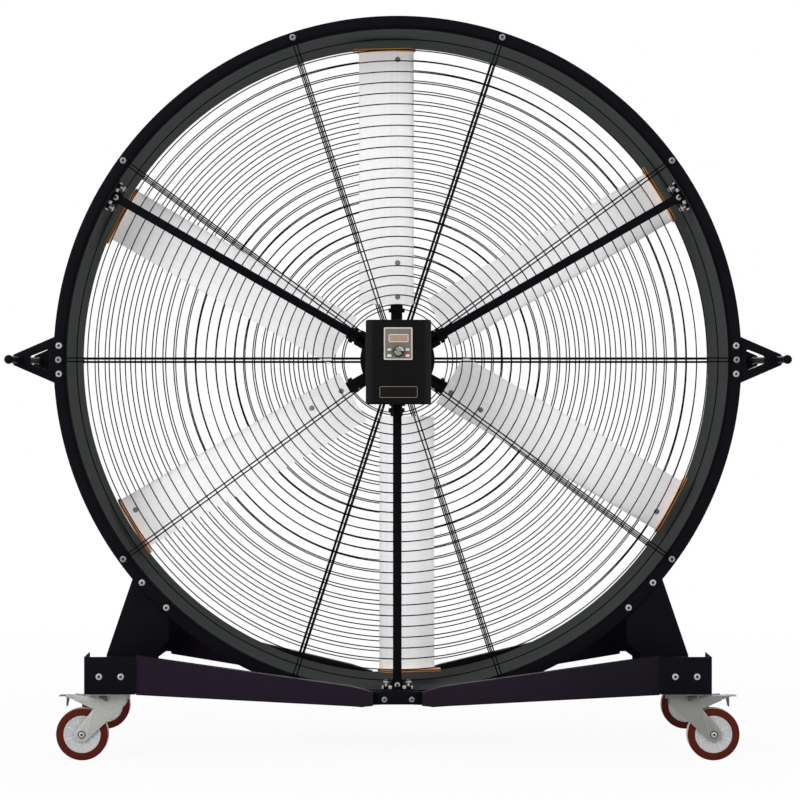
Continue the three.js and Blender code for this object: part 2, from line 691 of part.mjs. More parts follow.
// The tread has flat sides, so its lowest flat lies on the floor.
function wheelTyre(name) {
  const facetRadius = wheelRadius / Math.cos(Math.PI / wheelSides);
  const inner = coreRadius + gap / Math.cos(Math.PI / wheelSides);
  const half = wheelWidth / 2;
  const [flatHalf, sideRadius] = [half - tyreShoulder, facetRadius - tyreShoulder];
  const profile = [
    [inner, -half], [sideRadius, -half], [facetRadius, -flatHalf],
    [facetRadius, flatHalf], [sideRadius, half], [inner, half]
  ];
  return mesh(name, turned(profile, wheelSides, 1).translate(trail, 0, wheelRadius), colours.tyre);
}

// A foot lever between the fork's ears, with a lip to step on and a claw that points to the tread.
function brakePedal(name) {
  const { pivotX, back, half } = pedal;
  const { knee, lip, thick } = pedalTip;
  const pivotZ = crownTop - pedal.pivotDrop;
  const [kneeTop, lipTop] = [pivotZ + pedalTip.rise, pivotZ + pedalTip.lipRise];
  const shape = outline([
    [pivotX - back, pivotZ - half], [pivotX, pivotZ - half], [knee - 2 * thick, kneeTop - 2 * thick],
    [pedalTip.clawX, pivotZ - pedalTip.clawDrop], [knee + thick, kneeTop - thick],
    [lip, lipTop - thick / 2], [lip, lipTop], [knee, kneeTop], [pivotX - back, pivotZ + half]
  ]);
  const leverHalf = cheekInner - pedal.inset;
  const pin = disc(pedal.pin, gap - cheekInner, cheekInner - gap, 8).translate(pivotX, 0, pivotZ);
  return mesh(name, join(slab(shape, -leverHalf, leverHalf), pin), colours.zinc);
}

function caster(place, x, y, turn) {
  const group = new THREE.Group();
  group.position.set(x, y, 0);
  group.rotation.z = turn;
  group.add(
    casterPlate(`caster_plate_${place}`), casterFork(`caster_fork_${place}`),
    wheelCore(`wheel_core_${place}`), wheelTyre(`tyre_${place}`), brakePedal(`brake_pedal_${place}`)
  );
  return group;
}

// ---- the whole fan ----

const fan = new THREE.Group();
fan.position.z = axisHeight;
fan.add(drumShell(), guard('front_guard'));
const rearHalf = new THREE.Group();
rearHalf.rotation.z = Math.PI;
rearHalf.add(guard('rear_guard'));
fan.add(rearHalf, motorHousing(), motorBearing());
barAngles.forEach((angle, i) => fan.add(motorBar(`motor_bar_${i + 1}`, radians(angle))));
fan.add(rotor(), controlBox(), handles());

const base = new THREE.Group();
base.add(sideFrame('side_frame_right', 1));
const leftSide = new THREE.Group();
leftSide.rotation.z = Math.PI;
leftSide.add(sideFrame('side_frame_left', -1));
base.add(leftSide, vBeam('front_beam', frontArm, -1), vBeam('rear_beam', rearArm, 1));
for (const [place, x, y] of [
  ['front_right', casterX, -casterY], ['front_left', -casterX, -casterY],
  ['rear_right', casterX, casterY], ['rear_left', -casterX, casterY]
]) {
  base.add(caster(place, x, y, x > 0 ? 0 : Math.PI));
}

// The footprint runs from the handles' ends in front to the trays at the back.
const frontReach = halfDepth + rod.forward + grip.length / 2;
const drumFan = new THREE.Group();
drumFan.position.y = (frontReach - trayFront) / 2;
drumFan.add(fan, base);

export default drumFan;
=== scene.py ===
import random
from math import acos, asin, atan2, cos, degrees, hypot, pi, radians, sin, sqrt, tan

import bmesh
import bpy
from mathutils import Matrix, Vector


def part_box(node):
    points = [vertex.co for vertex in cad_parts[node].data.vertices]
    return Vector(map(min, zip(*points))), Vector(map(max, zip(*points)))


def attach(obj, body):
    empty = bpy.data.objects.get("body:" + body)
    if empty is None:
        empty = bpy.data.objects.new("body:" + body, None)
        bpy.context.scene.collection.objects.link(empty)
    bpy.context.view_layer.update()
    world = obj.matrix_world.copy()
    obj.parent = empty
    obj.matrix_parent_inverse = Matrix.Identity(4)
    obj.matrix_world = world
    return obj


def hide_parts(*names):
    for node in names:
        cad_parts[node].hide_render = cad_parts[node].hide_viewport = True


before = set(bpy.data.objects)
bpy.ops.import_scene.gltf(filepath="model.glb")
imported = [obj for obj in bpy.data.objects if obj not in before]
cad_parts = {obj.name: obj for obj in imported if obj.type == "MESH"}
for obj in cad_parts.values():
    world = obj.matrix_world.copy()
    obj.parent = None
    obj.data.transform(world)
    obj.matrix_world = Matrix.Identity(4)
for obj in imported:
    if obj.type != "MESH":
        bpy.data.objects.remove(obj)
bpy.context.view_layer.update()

mm = 0.001
random.seed(7)


def boxOf(node):  # lowest and highest corner of a node, in millimetres
    low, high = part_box(node)
    return low / mm, high / mm


drumLow, drumHigh = boxOf("drum_shell")
fanCentre = (drumLow + drumHigh) / 2
drumRadius = (drumHigh.x - drumLow.x) / 2
drumHalf = (drumHigh.y - drumLow.y) / 2
flangeFront, flangeBack = drumLow.y, drumHigh.y
drum = {
    "flangeWidth": 36, "flange": 6, "wall": 6,
    "mouth": 11,  # radius rolled into the bore's edge
    "lip": 2.2, "sides": 256,
    # Inside the bore the coat carries a painted reflection, out to these places:
    "lining": (1.6, 6.05),  # how far it rolls out of the bore, and where it ends behind the edge
    "boltInset": 15,  # from the flange's edge to its bolts
}
boreRadius = drumRadius - drum["flangeWidth"]
boltCircle = drumRadius - drum["boltInset"]


def linear(hexColour):  # sRGB hex to the linear colour that the shader takes
    parts = [int(hexColour[i:i + 2], 16) / 255 for i in (1, 3, 5)]
    return [p / 12.92 if p <= 0.04045 else ((p + 0.055) / 1.055) ** 2.4 for p in parts] + [1]


def addNode(tree, kind, settings):  # a value that is a socket is linked, any other is set
    node = tree.nodes.new("ShaderNode" + kind)
    for name, value in settings.items():
        if isinstance(value, bpy.types.NodeSocket):
            tree.links.new(value, node.inputs[name])
        elif isinstance(name, int) or name in node.inputs:
            node.inputs[name].default_value = value
        else:
            setattr(node, name, value)
    return node


def startMaterial(name):
    material = bpy.data.materials.new(name)
    material.use_nodes = True
    tree = material.node_tree
    tree.nodes.clear()
    return material, tree, addNode(tree, "TexCoord", {}).outputs["Object"]


# The tint mixes the two shades. The grain varies the roughness and, where no relief is given,
# lifts the surface. Each fade turns the colour to a last one between two values of its socket.
def finishMaterial(tree, settings, shades, tint, rough=None, grain=None, depth=0.0, relief=None,
                   fades=(), spread=(0.35, 0.65)):
    dark, light = linear(shades[0]), linear(shades[1])
    colour = addNode(tree, "Mix", {"data_type": "RGBA", 0: tint, 6: dark, 7: light}).outputs[2]
    for value, start, end, last in fades:
        share = addNode(tree, "MapRange", {"Value": value, "From Min": start, "From Max": end})
        mix = {"data_type": "RGBA", 0: share.outputs["Result"], 6: colour, 7: last}
        colour = addNode(tree, "Mix", mix).outputs[2]
    settings = {**settings, "Base Color": colour}
    if rough:
        gloss = {"Value": grain, "From Min": spread[0], "From Max": spread[1],
                 "To Min": rough[0], "To Max": rough[1]}
        settings["Roughness"] = addNode(tree, "MapRange", gloss).outputs["Result"]
        bump = {"Height": grain if relief is None else relief, "Distance": depth * mm, "Strength": 1.0}
        settings["Normal"] = addNode(tree, "Bump", bump).outputs["Normal"]
    shader = addNode(tree, "BsdfPrincipled", settings)
    addNode(tree, "OutputMaterial", {"Surface": shader.outputs["BSDF"]})


# Most finishes are two noises, each with a size in millimetres and a detail. The broad one drifts
# between the shades, and the fine one is the grain. On a metal the fine one speckles the shades
# and lifts the surface, and the broad one varies the roughness.
def noiseFinish(name, dark, light, broad, fine, rough, depth, sheen, metallic=None, fade=None):
    material, tree, place = startMaterial(name)
    noises = [{"Vector": place, "Scale": 1 / (size * mm), "Detail": detail} for size, detail in (broad, fine)]
    drift, grain = [addNode(tree, "TexNoise", noise).outputs["Fac"] for noise in noises]
    settings, fades = {"Specular IOR Level": sheen}, []
    if fade:
        fades = [(addNode(tree, "SeparateXYZ", {"Vector": place}).outputs["X"], *fade)]
    if metallic is None:
        finishMaterial(tree, settings, (dark, light), drift, rough, grain, depth, fades=fades)
    else:
        settings["Metallic"] = metallic
        speckle = addNode(tree, "MapRange", {"Value": grain, "From Min": 0.35, "From Max": 0.65})
        finishMaterial(tree, settings, (dark, light), speckle.outputs["Result"], rough, drift, depth, grain)
    return material


# Steel, sprayed with polyester powder and baked: near black, with a faint orange peel. With a
# fade, a painted shade turns the coat to another colour between two places along X, in metres.
def powderCoat(name, dark, light, peel=2.6, sheen=0.02, fade=None):
    return noiseFinish(name, dark, light, (90, 3), (peel, 1), (0.42, 0.52), 0.05, sheen, fade=fade)


# A moulded polymer: one even colour, a spark-eroded grain and a soft sheen. The real grain is
# about a tenth of a millimetre and wouldn't show, so it is drawn coarser.
def mouldedPlastic(name, dark, light, rough=(0.4, 0.5), sheen=0.2, depth=0.03):
    return noiseFinish(name, dark, light, (25, 2), (0.8, 1), rough, depth, sheen)


# Pressed steel, zinc plated: flat grey with a bright and dull speckle, drawn coarser than the real
# spangle. Bolts, castings and bearings differ from it in their shades, grain and shine.
def greyMetal(name, dark="#9a9c97", light="#acada8", grain=2.6, metallic=0.15, rough=(0.36, 0.5)):
    return noiseFinish(name, dark, light, (40, 3), (grain, 2), rough, 0.02, 0.3, metallic)


# Cast polyurethane: waxy and faintly clouded, with fine scuffs.
def castPolyurethane(name, dark, light):
    return noiseFinish(name, dark, light, (18, 3), (1.6, 2), (0.45, 0.62), 0.05, 0.03)


# The drum's inside: the same black coat, painted charcoal as a painted reflection of the pale
# surroundings seen at a grazing angle. It fades to black as it rolls over the mouth, a painted
# shade, and is painted darker low down than high up.
def paintedReflectionCoat(name):
    material, tree, place = startMaterial(name)
    apart = addNode(tree, "SeparateXYZ", {"Vector": place})
    flat = addNode(tree, "CombineXYZ", {"X": apart.outputs["X"], "Y": apart.outputs["Z"]}).outputs[0]
    out = addNode(tree, "VectorMath", {"operation": "LENGTH", 0: flat}).outputs["Value"]
    cloud = addNode(tree, "TexNoise", {"Vector": place, "Scale": 1 / (120 * mm), "Detail": 3}).outputs["Fac"]
    peel = addNode(tree, "TexNoise", {"Vector": place, "Scale": 1 / (2.6 * mm), "Detail": 1}).outputs["Fac"]
    lowShadeMix = {"data_type": "RGBA", 0: cloud, 6: linear("#424544"), 7: linear("#474a49")}
    paintedLowShade = addNode(tree, "Mix", lowShadeMix).outputs[2]
    mouth = (boreRadius + 0.5) * mm, (boreRadius + drum["mouth"]) * mm
    finishMaterial(tree, {"Specular IOR Level": 0.0}, ("#4c4f4e", "#525554"), cloud, (0.6, 0.72), peel, 0.05,
                   fades=[(apart.outputs["Z"], 0.8, -0.8, paintedLowShade), (out, *mouth, linear("#0c0c10"))])
    return material


# Sprayed twice, the second coat spattered: the fine wrinkles break up every highlight. The rounded
# upright edges are painted paler, between those two distances from the middle: a painted highlight.
def wrinklePaint(name, middle, near, far):
    material, tree, place = startMaterial(name)
    along = addNode(tree, "SeparateXYZ", {"Vector": place}).outputs["X"]
    aside = addNode(tree, "Math", {"operation": "SUBTRACT", 0: along, 1: middle * mm}).outputs[0]
    off = addNode(tree, "Math", {"operation": "ABSOLUTE", 0: aside}).outputs[0]
    grain = addNode(tree, "TexVoronoi", {"Vector": place, "Scale": 1 / (1.5 * mm)}).outputs["Distance"]
    cloud = addNode(tree, "TexNoise", {"Vector": place, "Scale": 1 / (40 * mm), "Detail": 2.0})
    finishMaterial(tree, {"Specular IOR Level": 0.04}, ("#0b0b0b", "#0f0f0f"), cloud.outputs["Fac"],
                   (0.4, 0.6), grain, 0.08, fades=[(off, near * mm, far * mm, linear("#1a1a1d"))],
                   spread=(0.0, 0.8))
    return material


# 6063 aluminium, extruded and clear anodised: pale and satin, with soft die lines along the blade.
def anodisedAluminium(name, lineWidth=14):  # real die lines are finer than a pixel
    material, tree, place = startMaterial(name)
    across = 1 / (lineWidth * mm)
    along = addNode(tree, "Mapping", {"Vector": place, "Scale": (across, across, 0.4)}).outputs["Vector"]
    lines = addNode(tree, "TexNoise", {"Vector": along, "Scale": 1.0, "Detail": 1.0}).outputs["Fac"]
    tint = addNode(tree, "MapRange", {"Value": lines, "From Min": 0.35, "From Max": 0.65})
    finishMaterial(tree, {"Metallic": 0.15, "Specular IOR Level": 0.3}, ("#f6f6f7", "#fbfbfc"),
                   tint.outputs["Result"], (0.62, 0.72), lines, 0.02)
    return material


# Acrylic over an unlit display: smooth, with the faint dark places of the unlit digits.
def tintedAcrylic(name):
    material, tree, place = startMaterial(name)
    rows = addNode(tree, "TexVoronoi", {"Vector": place, "Scale": 1 / (6 * mm)}).outputs["Distance"]
    finishMaterial(tree, {"IOR": 1.49, "Roughness": 0.14, "Specular IOR Level": 0.25},
                   ("#8b7567", "#a08a7a"), rows)
    return material


boxLow, boxHigh = boxOf("control_box")
boxMiddle, boxHalf = (boxLow + boxHigh) / 2, (boxHigh.x - boxLow.x) / 2
blackPaint = powderCoat("black polyester powder coat", "#0a0a0e", "#0f0f14")
# The front beam's arms are painted darker towards the right end: painted shade.
plumPaint = powderCoat("plum-black powder coat", "#1b151f", "#211926", sheen=0.03,
                       fade=(0.2, 0.75, linear("#120f15")))
# A darker copy of the beam's coat for the rear beam, which stands in shade: painted shade.
paintedShadePlum = powderCoat("plum-black powder coat, rear, painted shade", "#0f0b11", "#140f16")
# Inside the drum: a painted reflection, with painted shade at the mouth and low down.
paintedReflectionPaint = paintedReflectionCoat("black powder coat with painted reflection")
wirePaint = powderCoat("powder-coated steel wire", "#060607", "#0a0a0b", peel=1.2)
# The box's coat, with a painted highlight on its rounded upright edges.
boxPaint = wrinklePaint("black wrinkle paint", boxMiddle.x, boxHalf - 22, boxHalf - 9)
bladeMetal = anodisedAluminium("extruded anodised aluminium")
wingNylon = mouldedPlastic("orange moulded nylon", "#c07a35", "#cf8c45", rough=(0.36, 0.46))
# The brown in the winglet's seam stands in for the shade in it: painted shade.
paintedShadeNylon = mouldedPlastic("orange nylon, painted shade in the seam", "#4a2613", "#573019", sheen=0.05)
paleNylon = mouldedPlastic("pale apricot nylon lining", "#d9a684", "#e6b999", rough=(0.5, 0.6))
keypadPlastic = mouldedPlastic("warm grey ABS", "#69635e", "#726c67", sheen=0.12)
bezelPlastic = mouldedPlastic("pale grey ABS", "#b4aea6", "#c2bcb4", sheen=0.12)
displayLens = tintedAcrylic("tinted acrylic")
windowTrim = mouldedPlastic("printed cream border", "#b9aa9b", "#c4b6a8", depth=0.01, sheen=0.1)
knobPlastic = mouldedPlastic("black ABS", "#0c0d0b", "#131411", rough=(0.3, 0.4), sheen=0.15)
facePlastic = mouldedPlastic("grey-green ABS", "#75786d", "#84877c", rough=(0.3, 0.4), sheen=0.3)
paintedHighlightPlastic = mouldedPlastic("white plastic painted as a highlight", "#e6e7e0", "#efefea", depth=0.01)
greyRubber = mouldedPlastic("grey silicone key", "#8f8d86", "#9d9b94")
greenRubber = mouldedPlastic("green silicone key", "#75ab97", "#7fb5a1")
redRubber = mouldedPlastic("red silicone key", "#c07884", "#ca828e")
paleGreyTop = mouldedPlastic("pale grey key top", "#b9b7af", "#c3c1b9")
paleGreenTop = mouldedPlastic("pale green key top", "#b4dccb", "#bee4d4")
paleRedTop = mouldedPlastic("pale red key top", "#e6b1b9", "#ecbcc3")
plateStock = mouldedPlastic("black anodised plate stock", "#100d0c", "#151110", (0.3, 0.4), 0.05, 0.01)
plateTrim = mouldedPlastic("printed taupe border", "#6a625c", "#776f68", depth=0.01, sheen=0.1)
zincSteel = greyMetal("zinc-plated pressed steel")
# A darker copy for the right-hand casters: painted shade.
shadedZinc = greyMetal("zinc-plated pressed steel, painted shade", "#787974", "#83847f")
boltSteel = greyMetal("bright zinc-plated bolt steel", "#a9a9a9", "#c6c6c6", 2, 0.3)
dullBolt = greyMetal("dulled zinc-plated bolt steel", "#86868a", "#9c9ca0", 2, 0.3)
# Near black for the floor of a hex socket: painted shade.
shadedSocketSteel = greyMetal("steel in a hex socket, painted shade", "#1f1e20", "#343336", 2, 0.3)
darkSteel = greyMetal("blackened spring steel", "#3c3c3b", "#50504e", 2, 0.3)
screwSteel = greyMetal("dulled steel screw", "#656565", "#808080", 2, 0.3)
bareSteel = greyMetal("turned bearing steel", "#7c7e80", "#a6a8aa", 2, 0.9, (0.2, 0.32))
coreMetal = greyMetal("die-cast aluminium", "#a5a6a7", "#b3b4b6", 5, 0.1, (0.45, 0.58))
# Paler for the wheel core's ribs: painted highlights.
highlightRibMetal = greyMetal("die-cast aluminium, ribs with painted highlights", "#c9cacb", "#d8d9da", 5, 0.1, (0.4, 0.5))
treadUrethane = castPolyurethane("cast red polyurethane", "#461a12", "#501d15")
# The tread's running face, pale: a painted reflection of the pale surroundings at a grazing angle.
reflectionTread = castPolyurethane("red polyurethane, running face painted as a reflection", "#cdb4b4", "#dcc6c6")
print("materials made")


def addObject(name, data):
    thing = bpy.data.objects.new(name, data)
    bpy.context.scene.collection.objects.link(thing)
    return thing


def toMesh(form):  # from a bmesh in millimetres
    bmesh.ops.recalc_face_normals(form, faces=form.faces)
    bmesh.ops.scale(form, vec=(mm, mm, mm), verts=form.verts)
    mesh = bpy.data.meshes.new("form")
    form.to_mesh(mesh)
    form.free()
    return mesh


def meshPiece(name, form, looks, node=None, body="frame", place=None, smooth=32):
    mesh = form if isinstance(form, bpy.types.Mesh) else toMesh(form)
    piece = addObject(name, mesh)
    for look in looks if isinstance(looks, list) else [looks]:
        mesh.materials.append(look)
    if place is not None:
        piece.matrix_world = place
    mesh.shade_smooth()
    mesh.set_sharp_from_angle(angle=radians(smooth))
    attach(piece, body)
    if node:
        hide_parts(node)


def merge(*forms):
    whole = bmesh.new()
    for form in forms:
        lump = bpy.data.meshes.new("lump")
        form.to_mesh(lump)
        form.free()
        whole.from_mesh(lump)
        bpy.data.meshes.remove(lump)
    return whole


def marked(form, index):  # gives every face of a form one of the piece's materials
    for face in form.faces:
        face.material_index = index
    return form


def moved(form, x=0, y=0, z=0):
    bmesh.ops.translate(form, vec=(x, y, z), verts=form.verts)
    return form


def spun(form, angle, axis="Y"):  # in degrees
    turn = Matrix.Rotation(radians(angle), 3, axis)
    bmesh.ops.rotate(form, cent=(0, 0, 0), matrix=turn, verts=form.verts)
    return form


def mirrored(form, side):  # drawn for the right side, turned over for the left
    bmesh.ops.scale(form, vec=(side, 1, 1), verts=form.verts)
    return form


# Faces between neighbouring rings of vertices. The row of rings may close, and so may each ring.
def skin(form, rings, around=True, looped=True):
    faces = []
    for one, other in zip(rings, rings[1:] + rings[:around]):
        for k in range(len(one) - 1 + looped):
            n = (k + 1) % len(one)
            faces.append(form.faces.new((one[k], one[n], other[n], other[k])))
    return faces


def turned(form, paths):  # a ring about the Y axis for each list of (radius, y) points
    rings = []
    for i, path in enumerate(paths):
        a = 2 * pi * i / len(paths)
        rings.append([form.verts.new((r * sin(a), y, r * cos(a))) for r, y in path])
    return rings


def lathe(loop, sides):  # turned from a closed loop
    form = bmesh.new()
    skin(form, turned(form, [loop] * sides))
    return form


def knob(path, sides):  # turned, and closed on the axis at both ends
    form = bmesh.new()
    first, last = (form.verts.new((0, path[k][1], 0)) for k in (0, -1))
    rings = turned(form, [path[1:-1]] * sides)
    skin(form, rings, looped=False)
    for one, other in zip(rings, rings[1:] + rings[:1]):
        form.faces.new((first, one[0], other[0]))
        form.faces.new((last, other[-1], one[-1]))
    return form


# Turned from stations of (y, radius, ribbed), with flat ends. The ribbed ones dip between ribs.
def ribbed(stations, sides, dip):
    form = bmesh.new()
    rings = turned(form, [[(r - on * dip(i), y) for y, r, on in stations] for i in range(sides)])
    skin(form, rings, looped=False)
    for end in (0, -1):
        form.faces.new([ring[end] for ring in rings])
    return form


def spindle(radius, y0, y1, chamfer=0.6, sides=32):  # a turned bar with a chamfer at each end
    return knob([(0, y0), (radius - chamfer, y0), (radius, y0 + chamfer),
                 (radius, y1 - chamfer), (radius - chamfer, y1), (0, y1)], sides)


def arc(x, z, radius, start, end, steps):  # degrees, anticlockwise from +X
    turn = [radians(start + (end - start) * i / steps) for i in range(steps + 1)]
    return [(x + radius * cos(a), z + radius * sin(a)) for a in turn]


def rounded(points, radius, steps=4):  # a corner's third number is a radius of its own
    soft = []
    for i, corner in enumerate(points):
        here = Vector(corner[:2])
        before, after = Vector(points[i - 1][:2]), Vector(points[(i + 1) % len(points)][:2])
        size = corner[2] if len(corner) > 2 else radius
        into, out = (before - here).normalized(), (after - here).normalized()
        angle = into.angle(out)
        if size < 0.05 or angle > radians(178):
            soft.append(tuple(here))
            continue
        reach = size / tan(angle / 2)
        middle = here + (into + out).normalized() * (size / sin(angle / 2))
        one, other = here + into * reach - middle, here + out * reach - middle
        turn = one.angle_signed(other) if one.length > 0 else 0
        for k in range(steps + 1):
            soft.append(tuple(middle + Matrix.Rotation(-turn * k / steps, 2) @ one))
    return soft


def rectangle(width, height, radius, x=0, z=0):
    w, h = width / 2, height / 2
    return rounded([(x - w, z - h), (x + w, z - h), (x + w, z + h), (x - w, z + h)], radius, 5)


# Outlines, the first with the others as holes, pushed out from low to high with rounded edges.
# Along y they lie in X and Z, along z in X and Y.
def prism(outlines, low, high, bevel=1.0, along="y", steps=2):
    curve = bpy.data.curves.new("outline", "CURVE")
    curve.dimensions, curve.fill_mode = "2D", "BOTH"
    curve.extrude = (high - low) / 2 - bevel
    curve.bevel_depth, curve.bevel_resolution, curve.offset = bevel, steps - 1, -bevel
    for points in outlines:
        spline = curve.splines.new("POLY")
        spline.points.add(len(points) - 1)
        for point, (a, b) in zip(spline.points, points):
            point.co = (a, b, 0, 1)
        spline.use_cyclic_u = True
    holder = addObject("outline", curve)
    bpy.context.view_layer.update()
    flat = bpy.data.meshes.new_from_object(holder)
    bpy.data.objects.remove(holder)
    bpy.data.curves.remove(curve)
    form = bmesh.new()
    form.from_mesh(flat)
    bpy.data.meshes.remove(flat)
    bmesh.ops.remove_doubles(form, verts=form.verts, dist=0.01)
    if along == "y":
        return moved(spun(form, 90, "X"), y=(low + high) / 2)
    return moved(form, z=(low + high) / 2)


def softBox(low, high, bevel=1.0, steps=2):
    form = bmesh.new()
    bmesh.ops.create_cube(form, size=1)
    low, high = Vector(low), Vector(high)
    bmesh.ops.scale(form, vec=high - low, verts=form.verts)
    moved(form, *((low + high) / 2))
    if bevel:
        bmesh.ops.bevel(form, geom=list(form.edges), offset=bevel, segments=steps, affect="EDGES",
                        profile=0.5)
    return form


def wire(start, end, radius, sides=8):  # straight and round, between two points
    start, end = Vector(start), Vector(end)
    form = bmesh.new()
    bmesh.ops.create_cone(form, cap_ends=True, segments=sides, radius1=radius, radius2=radius,
                          depth=(end - start).length)
    turn = (end - start).to_track_quat("Z", "Y").to_matrix()
    bmesh.ops.rotate(form, cent=(0, 0, 0), matrix=turn, verts=form.verts)
    return moved(form, *((start + end) / 2))


def placeAt(x, y, z):  # in millimetres
    return Matrix.Translation(Vector((x, y, z)) * mm)


def aroundFan(radius, angle):  # X and Z of a point about the axis, anticlockwise from +X
    return arc(fanCentre.x, fanCentre.z, radius, angle, angle, 1)[0]


fanPlace = placeAt(*fanCentre)  # of pieces that are drawn about the fan's axis


def makeDrum():
    d = drum
    mouth, lip = d["mouth"], d["lip"]
    barrel, back = boreRadius + d["wall"], d["flange"] - drumHalf
    loop = arc(boreRadius + mouth, mouth - drumHalf, mouth, 180, 270, 7)
    loop += arc(drumRadius - lip, lip - drumHalf, lip, 270, 360, 3)
    loop += arc(drumRadius - lip, back - lip, lip, 0, 90, 3) + [(barrel + 2, back), (barrel, back + 2)]
    form = lathe(loop + [(r, -y) for r, y in reversed(loop)], d["sides"])
    roll, edge = d["lining"]
    # Faces inside the bore take the painted reflection, the others plain black.
    for face in form.faces:
        x, y, z = face.calc_center_median()
        face.material_index = hypot(x, z) < boreRadius + roll and abs(y) < drumHalf - edge
    meshPiece("drumShell", form, [blackPaint, paintedReflectionPaint], "drum_shell", place=fanPlace)


makeDrum()
print("drum made")

guard = {
    "wire": 1.7, "spokeWire": 2.0, "spokeGap": 10.2,
    "inner": 160.5, "innerPitch": 28.3, "innerCount": 15,
    "outer": 587.7, "outerPitch": 31.2,
    "spokes": 10, "plate": 108, "eye": 11.5, "eyeSheet": 3.2,
    "eyeTail": (22, 8),  # inside the bolt circle, and half its width
}


def makeGuard(name, node, turn, outerCount):
    g, rim, half = guard, guard["plate"], guard["spokeGap"] / 2
    back = drumLow.y - fanCentre.y - 0.3  # of the spokes
    spokeY = back - g["spokeWire"]
    radii = [g["inner"] + i * g["innerPitch"] for i in range(g["innerCount"])]
    radii += [g["outer"] + i * g["outerPitch"] for i in range(outerCount)]
    section = arc(0, back - 2 * g["spokeWire"] - g["wire"] + 0.4, g["wire"], 0, 300, 5)
    forms = [lathe([(radius + r, y) for r, y in section], max(64, 16 * round(radius / 75)))
             for radius in radii]
    reach, side = g["eyeTail"]
    eye = arc(boltCircle - 4, 0, g["eye"], -90, 90, 10)
    eye += [(boltCircle - reach, side), (boltCircle - reach, -side)]
    for i in range(g["spokes"]):
        spoke = [wire((rim - 10, spokeY, z), (boltCircle - 2, spokeY, z), g["spokeWire"])
                 for z in (-half, half)]
        spoke.append(prism([eye], back - g["eyeSheet"], back, 0.5))
        forms += [spun(part, -360 / g["spokes"] * i) for part in spoke]
    forms.append(knob([(0, back - 8), (rim - 2, back - 8), (rim, back - 6), (rim, back), (0, back)], 96))
    meshPiece(name, spun(merge(*forms), turn, "Z"), wirePaint, node, place=fanPlace, smooth=50)


makeGuard("frontGuard", "front_guard", 0, 13)
makeGuard("rearGuard", "rear_guard", 180, 12)
print("guards made")

bolt = {"radius": 8.6, "height": 5.0, "washer": 9.3, "washerDepth": 1.4, "socket": 4.9, "socketDepth": 2.6}


# A button head that faces -Y and sits on the plane y, its washer, and the floor of its hex socket.
def boltForms(x, y, z, size, turn):
    b = {key: value * size for key, value in bolt.items()}
    radius, washer, socket = b["radius"], b["washer"], b["socket"]
    crown = y - b["washerDepth"]
    top = crown - b["height"]
    floor = top + b["socketDepth"]
    head = [(0, crown), (radius - 0.3, crown)]
    for a in [radians(18 * k) for k in range(5)]:
        head.append((radius * (0.62 + 0.38 * cos(a)), crown - 0.8 - (b["height"] - 0.8) * sin(a)))
    head += [(socket * 1.12, top), (socket * 1.05, floor - 0.2), (0, floor)]
    under = [(0, y), (washer, y), (washer, crown + 0.3), (washer - 0.3, crown), (0, crown)]
    # The socket's floor is near black: painted shade.
    hollow = [(0, floor - 0.25), (socket, floor - 0.25), (socket, floor + 0.6), (0, floor + 0.6)]
    forms = spun(knob(head, 18), turn), knob(under, 28), spun(knob(hollow, 6), turn)
    return [moved(form, x, 0, z) for form in forms]


def makeBolts(name, places, body="frame", size=1.0, facing=1, look=boltSteel):  # one piece for a group
    heads, sockets = [], []
    for x, y, z in places:
        *head, socket = boltForms(x * facing, y * facing, z, size, random.uniform(0, 60))
        heads += head
        sockets.append(socket)
    for part, forms, metal in (("", heads, look), ("Sockets", sockets, shadedSocketSteel)):
        form = spun(merge(*forms), 90 - 90 * facing, "Z")
        meshPiece(name + part, form, metal, body=body, smooth=40)


def boltBothEnds(front, rear, spots, low, high, look=boltSteel):
    makeBolts(front, [(x, low, z) for x, z in spots], look=look)
    makeBolts(rear, [(x, high, z) for x, z in spots], facing=-1, look=look)


# The two lowest spots lie behind the beam's arms, and the bolts in its tab take their place.
shown = [aroundFan(boltCircle, 36 * i) for i in range(10) if i not in (7, 8)]
eyeDepth = 3.8  # the guard's eye under each head
boltBothEnds("frontGuardBolts", "rearGuardBolts", shown, flangeFront - eyeDepth, flangeBack + eyeDepth,
             dullBolt)
print("guard bolts made")

motor = {
    "radius": 100, "rim": 104, "rimDepth": 54, "collar": 26, "seat": 42.3,  # round the bearing
    "ribs": 30, "ribDepth": 5, "ribWidth": 0.4, "ribSteps": 8, "boltCircle": 86,
}
bars = {
    "width": 25, "foot": 92, "footThickness": 10, "footDepth": 70, "depth": 50, "clamp": (48, 34, 4),
    "endBolt": 950,  # distance from the axis
    "boltX": 33, "boltY": (2, 44),  # of the bolts through a foot
    # square nuts: X, half width, front, back, top and bevel
    "nuts": ((20.5, 5, 13.5, 9, 4, 1.2), (43, 2.4, 13, 9.5, 3.5, 0.8)),
}


